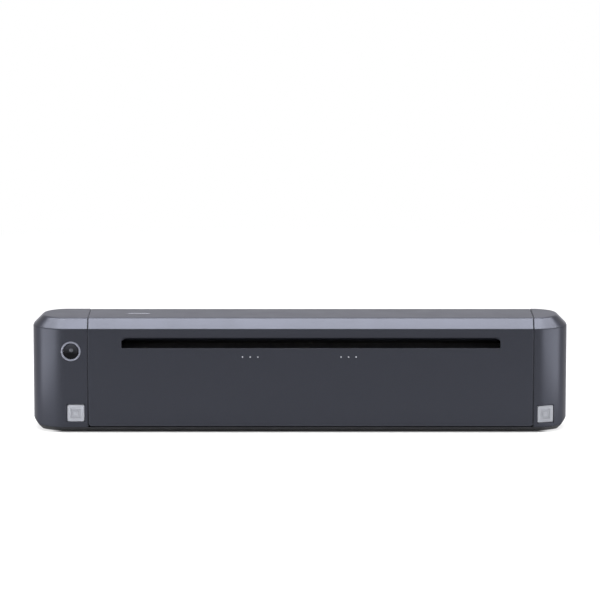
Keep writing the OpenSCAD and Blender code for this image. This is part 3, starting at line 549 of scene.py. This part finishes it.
class PRINTER_OT_casing(bpy.types.Operator):
    """Builds the cover, the end caps, the rear wall, the tray and the light bar"""

    bl_idname = "printer.casing"
    bl_label = "Casing"

    FLARE_TOP = 56.4
    STEEPEST_SLOPE = math.radians(60)
    DOT_XS = (-33.6, -29.1, -24.6, 24.0, 28.4, 32.8)
    DOT_Z = 44.8
    DOT_RADII = (0.46, 0.44)
    DOT_THICKNESS = 0.1

    def execute(self, context):
        self.own = context.scene.printer_casing
        self.outer("cover_shell", "front_cover")
        self.outer("left_cap", "end_cap_left")
        self.outer("right_cap", "end_cap_right")
        self.outer("rear_wall", "rear_panel")
        softened("tray", "base_tray", "tray_plastic", self.own.edge_rounding)
        softened("light_bar", "status_light", "light_gloss", 0.1 * MM)
        self.dots()
        return {"FINISHED"}

    def outer(self, name, node):
        """Broad roundings along the sloped edges and the slot's lip, small ones elsewhere."""
        own = self.own
        bm = joined_copy(node)
        sloped = [e for e in sharp_edges(bm) if at_height(e, TOP_Z) or at_height(e, CHAMFER_Z)]
        sloped = [e for e in sloped if e.calc_face_angle(0) < self.STEEPEST_SLOPE]
        for z, width in ((TOP_Z, own.upper_rounding), (CHAMFER_Z, own.lower_rounding)):
            round_edges(bm, [e for e in sloped if e.is_valid and at_height(e, z)], width, 5)
        lip = [e for e in sharp_edges(bm) if at_height(e, self.FLARE_TOP, 0.05)]
        lip = [e for e in lip if e.verts[0].co.y < (FRONT_Y + 0.1) * MM]
        round_edges(bm, lip, own.lip_rounding, 6)
        round_edges(bm, sharp_edges(bm), own.edge_rounding, 2)
        # Where three roundings meet, a corner can end a little above the top face
        for corner in bm.verts:
            corner.co.z = min(corner.co.z, TOP_Z * MM)
        stand_in(name, node, bm, "cover_paint" if node == "front_cover" else "casing_paint")

    def dots(self):
        """Six small printed dots in a row under the slot."""
        bm = bmesh.new()
        facing = Matrix.Rotation(math.radians(90), 3, "X")
        back, front = self.DOT_RADII
        for x in self.DOT_XS:
            middle = Vector((x, FRONT_Y + 0.045, self.DOT_Z)) * MM
            bmesh.ops.create_cone(
                bm, cap_ends=True, segments=16, radius1=back * MM, radius2=front * MM,
                depth=self.DOT_THICKNESS * MM, matrix=Matrix.LocRotScale(middle, facing, None),
            )
        bmesh.ops.recalc_face_normals(bm, faces=bm.faces)
        place("cover_dots", bm, "print_ink", "cover")


class PRINTER_OT_controls(bpy.types.Operator):
    """Builds the power button, its ring and lens, and the two square keys"""

    bl_idname = "printer.controls"
    bl_label = "Button and keys"

    BUTTON_FACE_Y = -23.6
    LENS_SHIFT = (0.3, 0.7)
    # Width and rise of each step from a key's edge to its middle
    FACE_STEPS = ((1.9, 0), (0.35, -0.5), (1.3, 0), (0.35, 0.4))
    KEY_CORNER = 1.0

    def execute(self, context):
        own = context.scene.printer_controls
        self.ring()
        self.button(own.dish_depth / MM)
        self.key("left_key_cap", "left_key", tuple(own.left_key), own.key_rounding)
        self.key("right_key_cap", "right_key", tuple(own.right_key), own.key_rounding)
        return {"FINISHED"}

    def ring(self):
        profile = [
            (-23.8, 4.75), (-23.96, 4.86), (-24.0, 5.02), (-24.0, 5.55), (-23.95, 5.73),
            (-23.8, 5.8), (-22.0, 5.8), (-22.0, 6.6), (-20.8, 6.6), (-20.8, 4.75),
        ]
        bm = turned(profile, (0, 1, 0), POWER_CENTRE, 64, closed=True)
        stand_in("ring_trim", "power_ring", bm, "ring_plastic")

    def button(self, dish):
        """A hollow cap with a collar and a stem, and the lens in its hollow."""
        face = self.BUTTON_FACE_Y
        profile = [
            (face + dish, 0), (face + 0.94 * dish, 0.9), (face + 0.72 * dish, 1.9),
            (face + 0.36 * dish, 2.9), (face + 0.08 * dish, 3.7), (face, 4.05),
            (face + 0.05, 4.3), (face + 0.2, 4.5), (face + 0.45, 4.6), (-20.7, 4.6),
            (-20.7, 5.4), (-19.7, 5.4), (-19.7, 1.4), (-15.2, 1.4), (-15, 1.2), (-15, 0),
        ]
        cap = turned(profile, (0, 1, 0), POWER_CENTRE, 64)
        stand_in("button_cap", "power_button", cap, "button_gloss")
        base = face + dish
        lens = [
            (base - 0.2, 0), (base - 0.17, 0.6), (base - 0.08, 1.1), (base + 0.12, 1.3),
            (base + 0.4, 0),
        ]
        aside, up = self.LENS_SHIFT
        centre = (POWER_CENTRE[0] + aside, 0, POWER_CENTRE[2] + up)
        place("button_lens", turned(lens, (0, 1, 0), centre, 32), "lens_gloss", "power")

    def key(self, name, node, colour, rounding):
        """A key with a square hollow round a small square island in its face."""
        bm = joined_copy(node)
        outward = -AXIS_OF[BODY_OF[node]]
        front = max(v.co.dot(outward) for v in bm.verts)
        face = [f for f in bm.faces if all(v.co.dot(outward) > front - 0.01 * MM for v in f.verts)]
        for thickness, depth in self.FACE_STEPS:
            bmesh.ops.inset_region(
                bm, faces=face, thickness=thickness * MM, depth=depth * MM, use_even_offset=True
            )
        upright = [
            e for e in sharp_edges(bm)
            if abs((e.verts[1].co - e.verts[0].co).normalized().dot(outward)) > 0.99
            and max(v.co.dot(outward) for v in e.verts) > front - 0.5 * MM
        ]
        round_edges(bm, upright, self.KEY_CORNER * MM, 4)
        round_edges(bm, sharp_edges(bm, 60), rounding, 3)
        key_plastic(f"{node}_plastic", colour, outward, front)
        stand_in(name, node, bm, f"{node}_plastic")


class PRINTER_OT_print_head(bpy.types.Operator):
    """Builds the print head, its sink and bracket, the springs and the tear bar"""

    bl_idname = "printer.print_head"
    bl_label = "Print head"

    SPRING_XS = {"head_spring_left": -79.6, "head_spring_right": 92.4}
    SPRING_Y = 5.0
    SPRING_Z = (57.7, 64.9)
    COIL_RADIUS = 2.3
    WIRE_RADIUS = 0.3
    OPEN_TURNS = 4
    END_PITCH = 0.66
    STEPS_PER_TURN = 24

    def execute(self, context):
        rounding = context.scene.printer_inside.part_rounding
        softened("head_plate", "print_head", "head_glaze", 0.08 * MM)
        softened("head_sink", "heat_sink", "aluminium", rounding)
        softened("head_holder", "head_bracket", "steel_sheet", rounding)
        softened("post_clips", "head_clips", "steel_ground", 0.08 * MM)
        softened("tear_blade", "tear_bar", "steel_sheet", 0.05 * MM)
        left, right = SLOT_X
        line = blocks([((left + 1, -0.5, 52.07), (right - 1, 0.5, 52.2))], 0.04 * MM, 3)
        place("heater_line", line, "heater_glaze", "head")
        strip = blocks([((left + 6, 5.5, 51.5), (right - 6, 9.6, 52.2))], 0.28 * MM, 4)
        place("driver_strip", strip, "driver_resin", "head")
        for node, x in self.SPRING_XS.items():
            self.spring(node, x)
        return {"FINISHED"}

    def spring(self, node, x):
        """A coil with closed end turns, for a spring that shortens as the head lifts."""
        low, high = self.SPRING_Z
        centre = Vector((x, self.SPRING_Y, low)) * MM
        start = Matrix.LocRotScale(
            centre + Vector((self.COIL_RADIUS * MM, 0, 0)),
            Matrix.Rotation(math.radians(90), 3, "X"),
            None,
        )
        bm = bmesh.new()
        ring = bmesh.ops.create_circle(
            bm, segments=10, radius=self.WIRE_RADIUS * MM, matrix=start
        )["verts"]
        last = ring + list({e for v in ring for e in v.link_edges})
        open_pitch = (high - low - 2 * self.END_PITCH) / self.OPEN_TURNS
        ends = (1, self.END_PITCH)
        for turns, pitch in (ends, (self.OPEN_TURNS, open_pitch), ends):
            steps = turns * self.STEPS_PER_TURN
            last = bmesh.ops.spin(
                bm, geom=last, cent=centre, axis=(0, 0, 1), angle=math.tau * turns, steps=steps,
                dvec=Vector((0, 0, pitch * turns / steps * MM)),
            )["geom_last"]
        bmesh.ops.holes_fill(bm, edges=[e for e in bm.edges if e.is_boundary])
        bmesh.ops.recalc_face_normals(bm, faces=bm.faces)
        coil = stand_in(node.replace("head_", "") + "_coil", node, bm, "steel_ground", 60)
        # The coil's top stays still at 65.2 mm while the head lifts by 0.8 mm
        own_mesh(coil)


class PRINTER_OT_chassis(bpy.types.Operator):
    """Builds the steel plates, the beam, the hinge pins, the seals and the magnets"""

    bl_idname = "printer.chassis"
    bl_label = "Chassis"

    def execute(self, context):
        rounding = context.scene.printer_inside.part_rounding
        softened("left_plate", "side_plate_left", "steel_sheet", rounding)
        softened("right_plate", "side_plate_right", "steel_sheet", rounding)
        softened("beam", "cross_beam", "steel_sheet", rounding)
        softened("left_hinge_pin", "hinge_pin_left", "steel_ground", rounding)
        softened("right_hinge_pin", "hinge_pin_right", "steel_ground", rounding)
        softened("plate_fixings", "plate_screws", "steel_ground", 0.1 * MM)
        softened("seal_strips", "seam_seals", "seal_rubber", 0.1 * MM)
        softened("keeper_plates", "cover_keepers", "steel_sheet", 0.1 * MM)
        softened("magnet_blocks", "cover_magnets", "steel_ground", 0.2 * MM)
        softened("magnet_frames", "magnet_holders", "inner_plastic", rounding)
        return {"FINISHED"}


class PRINTER_OT_paper_path(bpy.types.Operator):
    """Builds the guides, the paper flag and its light gate, and the platen roller"""

    bl_idname = "printer.paper_path"
    bl_label = "Paper path"

    ROLLER_XS = (-103.1, 115.9)
    ROLLER_CENTRE = (0, 0, 46)

    def execute(self, context):
        rounding = context.scene.printer_inside.part_rounding
        softened("front_shelf", "front_guide", "inner_plastic", rounding)
        softened("rear_shelf", "rear_guide", "inner_plastic", rounding)
        softened("flag_lever", "paper_flag", "inner_plastic", 0.1 * MM)
        softened("flag_axle", "flag_pin", "steel_ground", 0.1 * MM)
        softened("light_gate", "paper_sensor", "chip_plastic", 0.1 * MM)
        softened("roller_axle", "platen_shaft", "steel_ground", 0.25 * MM)
        softened("left_bush", "platen_bush_left", "brass", 0.1 * MM)
        softened("right_bush", "platen_bush_right", "brass", 0.1 * MM)
        left, right = self.ROLLER_XS
        profile = [
            (left, 2), (left, 5.5), (left + 0.15, 5.85), (left + 0.5, 6), (right - 0.5, 6),
            (right - 0.15, 5.85), (right, 5.5), (right, 2),
        ]
        bm = turned(profile, (1, 0, 0), self.ROLLER_CENTRE, 64, closed=True)
        stand_in("roller_sleeve", "platen_roller", bm, "platen_rubber")
        return {"FINISHED"}


class PRINTER_OT_drive(bpy.types.Operator):
    """Builds the gears, the idler post and the stepper motor"""

    bl_idname = "printer.drive"
    bl_label = "Drive"

    def execute(self, context):
        keep("platen_gear", "gear_plastic")
        keep("idler_gear", "gear_plastic")
        keep("motor_pinion", "brass")
        softened("idler_axle", "idler_post", "steel_ground", 0.1 * MM)
        softened("motor", "stepper_motor", "motor_can", 0.3 * MM, 3)
        softened("motor_axle", "motor_shaft", "steel_ground", 0.15 * MM)
        return {"FINISHED"}


class PRINTER_OT_batteries(bpy.types.Operator):
    """Builds the two battery cells and their holder"""

    bl_idname = "printer.batteries"
    bl_label = "Batteries"

    CELL_XS = {"battery_cell_left": -105.0, "battery_cell_right": -39.0}
    CELL_CENTRE = (0, -10.4, 13.7)
    CELL_END = 63.8

    def execute(self, context):
        rounding = context.scene.printer_inside.part_rounding
        softened("cell_cradle", "battery_holder", "inner_plastic", rounding)
        for node, x in self.CELL_XS.items():
            self.cell(node, x)
        return {"FINISHED"}

    def cell(self, node, x):
        """A wrapped can with a crimp groove, an insulating ring and a steel cap."""
        side = node.rsplit("_", 1)[1]
        end = x + self.CELL_END
        wrap = [
            (x, 0), (x, 7.7), (x + 0.15, 8.5), (x + 0.45, 8.95), (x + 0.9, 9.1),
            (end - 5.6, 9.1), (end - 5.1, 8.95), (end - 4.8, 8.7), (end - 4.2, 8.7),
            (end - 3.9, 8.95), (end - 3.4, 9.1), (end - 0.7, 9.1), (end - 0.25, 8.95),
            (end, 8.5), (end, 7.6), (end - 0.1, 7.5), (end - 0.1, 0),
        ]
        wrap = turned(wrap, (1, 0, 0), self.CELL_CENTRE, 64)
        stand_in(f"{side}_cell", node, wrap, "cell_wrap")
        ring = [(end - 0.3, 3.3), (end + 0.1, 3.3), (end + 0.1, 7.3), (end - 0.3, 7.3)]
        ring = turned(ring, (1, 0, 0), self.CELL_CENTRE, 48, closed=True)
        place(f"{side}_cell_ring", ring, "plug_plastic", "printer")
        cap = [
            (end - 0.3, 0), (end - 0.3, 3.2), (end + 0.5, 3), (end + 1, 2.9), (end + 1.2, 2.6),
            (end + 1.2, 0),
        ]
        cap = turned(cap, (1, 0, 0), self.CELL_CENTRE, 48)
        place(f"{side}_cell_cap", cap, "steel_ground", "printer")


class PRINTER_OT_electronics(bpy.types.Operator):
    """Builds the boards with their chips, capacitors and plugs, the socket and the switches"""

    bl_idname = "printer.electronics"
    bl_label = "Electronics"

    BOARD_Y = 15.4
    # Left edge, size and thickness of each chip
    CHIPS = ((-60, 12, 1.4), (-38, 8, 1.2), (-4, 14, 1.6), (26, 8, 1.2), (44, 8, 1.2))
    CHIP_Z = 14.0
    LEG_PITCH = 1.0
    LEG_LENGTH = 0.9
    HALF_LEG = 0.2
    # Height, left end and spacing of each row of resistors
    RESISTOR_ROWS = ((10.2, -68, 5.5), (31.5, -64, 6.5), (8.0, -30, 4.5))
    RESISTORS_PER_ROW = 16
    CAPACITOR_XS = (-86, -76)
    CAPACITOR_Z = 24
    PLUG_XS = (-20, 62)
    PIN_STEPS = (1.75, 3.75, 5.75, 7.75)

    def execute(self, context):
        rounding = context.scene.printer_inside.part_rounding
        softened("logic_board", "main_board", "board_varnish", 0.08 * MM)
        softened("left_board", "left_key_board", "board_varnish", 0.08 * MM)
        softened("right_board", "right_key_board", "board_varnish", 0.08 * MM)
        softened("board_fixings", "board_screws", "steel_ground", 0.1 * MM)
        softened("charge_socket", "usb_socket", "steel_ground", 0.08 * MM)
        softened("power_switch_body", "power_switch", "inner_plastic", rounding)
        softened("left_switch_body", "left_key_switch", "inner_plastic", rounding)
        softened("right_switch_body", "right_key_switch", "inner_plastic", rounding)
        self.chips()
        self.resistors()
        self.capacitors()
        self.plugs()
        return {"FINISHED"}

    def board_part(self, name, bm, finish):
        """One of the pieces that together stand in for the plain parts on the board."""
        place(name, bm, finish, "printer", ("board_parts",))

    def chips(self):
        """Square chips with a row of legs along each side."""
        y, z, long, half = self.BOARD_Y, self.CHIP_Z, self.LEG_LENGTH, self.HALF_LEG
        low, high = y - 0.25, y + 0.02
        bodies, legs = [], []
        for x, size, thick in self.CHIPS:
            first, last = 0.7, size - 0.7
            bodies.append(((x + first, y - thick, z + first), (x + last, y - 0.1, z + last)))
            count = int((size - 2) / self.LEG_PITCH)
            for i in range(count + 1):
                at = 1 + i * (size - 2) / count
                for near in (0, size - long):
                    far = near + long
                    legs += [
                        ((x + at - half, low, z + near), (x + at + half, high, z + far)),
                        ((x + near, low, z + at - half), (x + far, high, z + at + half)),
                    ]
        self.board_part("board_chips", blocks(bodies, 0.15 * MM), "chip_plastic")
        place("chip_legs", blocks(legs, 0.04 * MM, 1), "steel_ground", "printer")

    def resistors(self):
        """Three uneven rows, with gaps where the plugs are."""
        y = self.BOARD_Y
        small = []
        for row, (z, start, gap) in enumerate(self.RESISTOR_ROWS):
            for i in range(self.RESISTORS_PER_ROW):
                x = start + i * gap + (1.7 if i % 3 == 1 else 0) - row
                if not any(abs(x - plug - 5) < 7 for plug in self.PLUG_XS):
                    small.append(((x, y - 0.6, z), (x + 1.6, y + 0.02, z + 0.9)))
        place("board_resistors", blocks(small, 0.08 * MM, 1), "small_chip_ceramic", "printer")

    def capacitors(self):
        """Cans that stand out of the board, with a crimped foot."""
        y = self.BOARD_Y
        for index, x in enumerate(self.CAPACITOR_XS):
            can = [
                (y - 9, 0), (y - 9, 3.3), (y - 8.9, 3.7), (y - 8.6, 3.95), (y - 8.2, 4),
                (y - 2.2, 4), (y - 1.9, 3.7), (y - 1.5, 3.7), (y - 1.2, 4), (y, 4), (y, 0),
            ]
            bm = turned(can, (0, 1, 0), (x, 0, self.CAPACITOR_Z))
            self.board_part(f"capacitor_{index + 1}", bm, "aluminium")

    def plugs(self):
        """Two white sockets with a row of pins each."""
        y = self.BOARD_Y
        walls, pins = [], []
        for x in self.PLUG_XS:
            walls += [
                ((x, y - 4.5, 27), (x + 10, y, 27.9)),
                ((x, y - 4.5, 31.1), (x + 10, y, 32)),
                ((x, y - 4.5, 27.5), (x + 0.9, y, 31.5)),
                ((x + 9.1, y - 4.5, 27.5), (x + 10, y, 31.5)),
                ((x + 0.5, y - 1.2, 27.5), (x + 9.5, y, 31.5)),
            ]
            pins += [
                ((x + at, y - 3.8, 29.25), (x + at + 0.5, y - 0.5, 29.75)) for at in self.PIN_STEPS
            ]
        self.board_part("board_plugs", blocks(walls, 0.12 * MM, 1), "plug_plastic")
        place("plug_pins", blocks(pins, 0.06 * MM, 1), "brass", "printer")


class PRINTER_OT_underside(bpy.types.Operator):
    """Builds the rubber feet and the screws under the tray"""

    bl_idname = "printer.underside"
    bl_label = "Underside"

    def execute(self, context):
        softened("feet", "rubber_feet", "foot_rubber", 0.25 * MM, 3)
        softened("tray_fixings", "tray_screws", "steel_ground", 0.12 * MM)
        return {"FINISHED"}


class PRINTER_OT_stage(bpy.types.Operator):
    """Sets up the floor, the lamps, the world and the camera"""

    bl_idname = "printer.stage"
    bl_label = "Stage"

    # Place, target, size, brightness and long side of each lamp
    LAMPS = {
        "lamp_above": ((0, -0.06, 1.25), (0, 0, 0.03), (1.02, 0.5), 12.8, (1, 0, 0)),
        "lamp_behind": ((0, 0.75, 1.05), (0, 0, 0.05), (1.02, 0.6), 3.4, (1, 0, 0)),
    }
    # The same of the right-hand lamp of each pair
    LAMP_PAIRS = {
        "lamp_wing": ((0.72, 0.18, 1.1), (0.14, 0, 0.06), (0.86, 0.24), 12.8, (0.62, 0.78, 0)),
        "lamp_low": (
            (0.28, -0.125, 0.041), (0.146, -0.125, 0.041), (0.25, 0.08), 3.4, (0, 1, 0)
        ),
    }
    AIM_Z = 78.5
    SENSOR_WIDTH = 36
    FARTHEST = 50
    FLOOR_SIZE = 6.0
    # Half the width and depth of the floor under the printer, and where its shadow zone fades
    COVERED = (141, 21)
    COVERED_FADE = (-1, 5)
    # The floor's share of plain white near the printer, and over which distance it rises to 1
    NEAR_SHARE = 0.72
    SHARE_REACH = (0.25, 0.9)
    WORLD_LIGHT = 0.3

    def execute(self, context):
        scene = context.scene
        own = scene.printer_stage
        scene.view_settings.view_transform = "Standard"
        self.floor(tuple(own.floor))
        self.world(scene)
        for name, (at, towards, size, brightness, along) in self.LAMPS.items():
            self.lamp(name, at, towards, size, brightness * own.lamp_level, along)
        for sign, side in ((-1, "left"), (1, "right")):
            for name, (at, towards, size, brightness, along) in self.LAMP_PAIRS.items():
                at, towards, along = ((sign * x, y, z) for x, y, z in (at, towards, along))
                strength = brightness * own.lamp_level
                self.lamp(f"{name}_{side}", at, towards, size, strength, along)
        self.camera(scene, own)
        return {"FINISHED"}

    def floor(self, colour):
        bm = bmesh.new()
        bmesh.ops.create_grid(bm, x_segments=1, y_segments=1, size=self.FLOOR_SIZE)
        mesh = bpy.data.meshes.new("floor")
        bm.to_mesh(mesh)
        bm.free()
        floor = bpy.data.objects.new("floor", mesh)
        bpy.context.scene.collection.objects.link(floor)
        mesh.materials.append(self.floor_finish(colour))

    def floor_finish(self, colour):
        """Matt near the printer, where it takes the shadow, and plain white further out."""
        look = Finish("floor_white", specular=0.1)
        look.finish((*colour, 1), 0.9)
        reach = look.measure("LENGTH", look.place)
        x, y, _ = look.node("ShaderNodeSeparateXYZ", {0: look.place}).outputs
        beside, before = (
            look.math("SUBTRACT", look.math("ABSOLUTE", distance), half * MM)
            for distance, half in zip((x, y), self.COVERED)
        )
        fade = [distance * MM for distance in self.COVERED_FADE]
        clear = look.spread(look.math("MAXIMUM", beside, before), 0, 1, *fade)
        share = look.spread(reach, self.NEAR_SHARE, 1, *self.SHARE_REACH)
        away = look.math("MULTIPLY", share, clear)
        path = look.node("ShaderNodeLightPath").outputs
        seen = look.math("MAXIMUM", path["Is Camera Ray"], path["Is Glossy Ray"])
        white = look.node("ShaderNodeEmission", {"Color": (1, 1, 1, 1), "Strength": 1.0})
        parts = (look.math("MULTIPLY", away, seen), look.shader.outputs[0], white.outputs[0])
        both = look.node("ShaderNodeMixShader", dict(enumerate(parts))).outputs[0]
        look.tree.links.new(both, look.tree.nodes["Material Output"].inputs["Surface"])
        return look.material

    def world(self, scene):
        """White where it is seen or mirrored, dimmer where it lights."""
        world = bpy.data.worlds.new("studio")
        scene.world = world
        world.use_nodes = True
        tree = world.node_tree
        background = tree.nodes["Background"]
        background.inputs["Color"].default_value = (1, 1, 1, 1)
        path = tree.nodes.new("ShaderNodeLightPath").outputs
        seen = path["Is Camera Ray"]
        for ray in ("Is Glossy Ray", "Is Transmission Ray"):
            either = tree.nodes.new("ShaderNodeMath")
            either.operation = "MAXIMUM"
            tree.links.new(seen, either.inputs[0])
            tree.links.new(path[ray], either.inputs[1])
            seen = either.outputs[0]
        strength = tree.nodes.new("ShaderNodeMapRange")
        strength.inputs["To Min"].default_value = self.WORLD_LIGHT
        strength.inputs["To Max"].default_value = 1.0
        tree.links.new(seen, strength.inputs["Value"])
        tree.links.new(strength.outputs[0], background.inputs["Strength"])

    def lamp(self, name, at, towards, size, brightness, along):
        """A soft lamp. Its brightness is in units of plain white."""
        data = bpy.data.lights.new(name, "AREA")
        data.shape = "RECTANGLE"
        data.size, data.size_y = size
        data.energy = brightness * math.pi * size[0] * size[1]
        lamp = bpy.data.objects.new(name, data)
        lamp.location = at
        back = (Vector(at) - Vector(towards)).normalized()
        up = back.cross(Vector(along)).normalized()
        lamp.rotation_euler = Matrix((up.cross(back), up, back)).transposed().to_euler()
        lamp.visible_camera = False
        bpy.context.scene.collection.objects.link(lamp)

    def camera(self, scene, own):
        data = bpy.data.cameras.new("camera")
        data.sensor_fit = "HORIZONTAL"
        data.sensor_width = self.SENSOR_WIDTH
        data.lens = data.sensor_width * own.distance / own.view_width
        data.clip_end = self.FARTHEST
        camera = bpy.data.objects.new("camera", data)
        sight = Vector((0, math.cos(own.elevation), -math.sin(own.elevation)))
        camera.location = Vector((0, FRONT_Y, self.AIM_Z)) * MM - sight * own.distance
        camera.rotation_euler = sight.to_track_quat("-Z", "Y").to_euler()
        scene.collection.objects.link(camera)
        scene.camera = camera


class PRINTER_PT_panel(bpy.types.Panel):
    """Lists the steps that dress the printer"""

    bl_label = "Portable printer"
    bl_idname = "PRINTER_PT_panel"
    bl_space_type = "VIEW_3D"
    bl_region_type = "UI"
    bl_category = "Printer"

    def draw(self, context):
        for key in SETTINGS:
            group = getattr(context.scene, key)
            box = self.layout.box()
            for name in group.__annotations__:
                box.prop(group, name)
        for step in STEPS:
            self.layout.operator(step.bl_idname)


SETTINGS = {
    "printer_casing": PrinterCasingSettings,
    "printer_controls": PrinterControlSettings,
    "printer_inside": PrinterInsideSettings,
    "printer_stage": PrinterStageSettings,
}
STEPS = (
    PRINTER_OT_finishes, PRINTER_OT_casing, PRINTER_OT_controls, PRINTER_OT_print_head,
    PRINTER_OT_chassis, PRINTER_OT_paper_path, PRINTER_OT_drive, PRINTER_OT_batteries,
    PRINTER_OT_electronics, PRINTER_OT_underside, PRINTER_OT_stage,
)


def register():
    for group in SETTINGS.values():
        bpy.utils.register_class(group)
    for step in (*STEPS, PRINTER_PT_panel):
        bpy.utils.register_class(step)
    for key, group in SETTINGS.items():
        setattr(bpy.types.Scene, key, bpy.props.PointerProperty(type=group))


def unregister():
    for key in SETTINGS:
        delattr(bpy.types.Scene, key)
    for step in (PRINTER_PT_panel, *reversed(STEPS)):
        bpy.utils.unregister_class(step)
    for group in SETTINGS.values():
        bpy.utils.unregister_class(group)


def main():
    register()
    for step in STEPS:
        group, name = step.bl_idname.split(".")
        getattr(getattr(bpy.ops, group), name)()


if __name__ == "__main__":
    main()
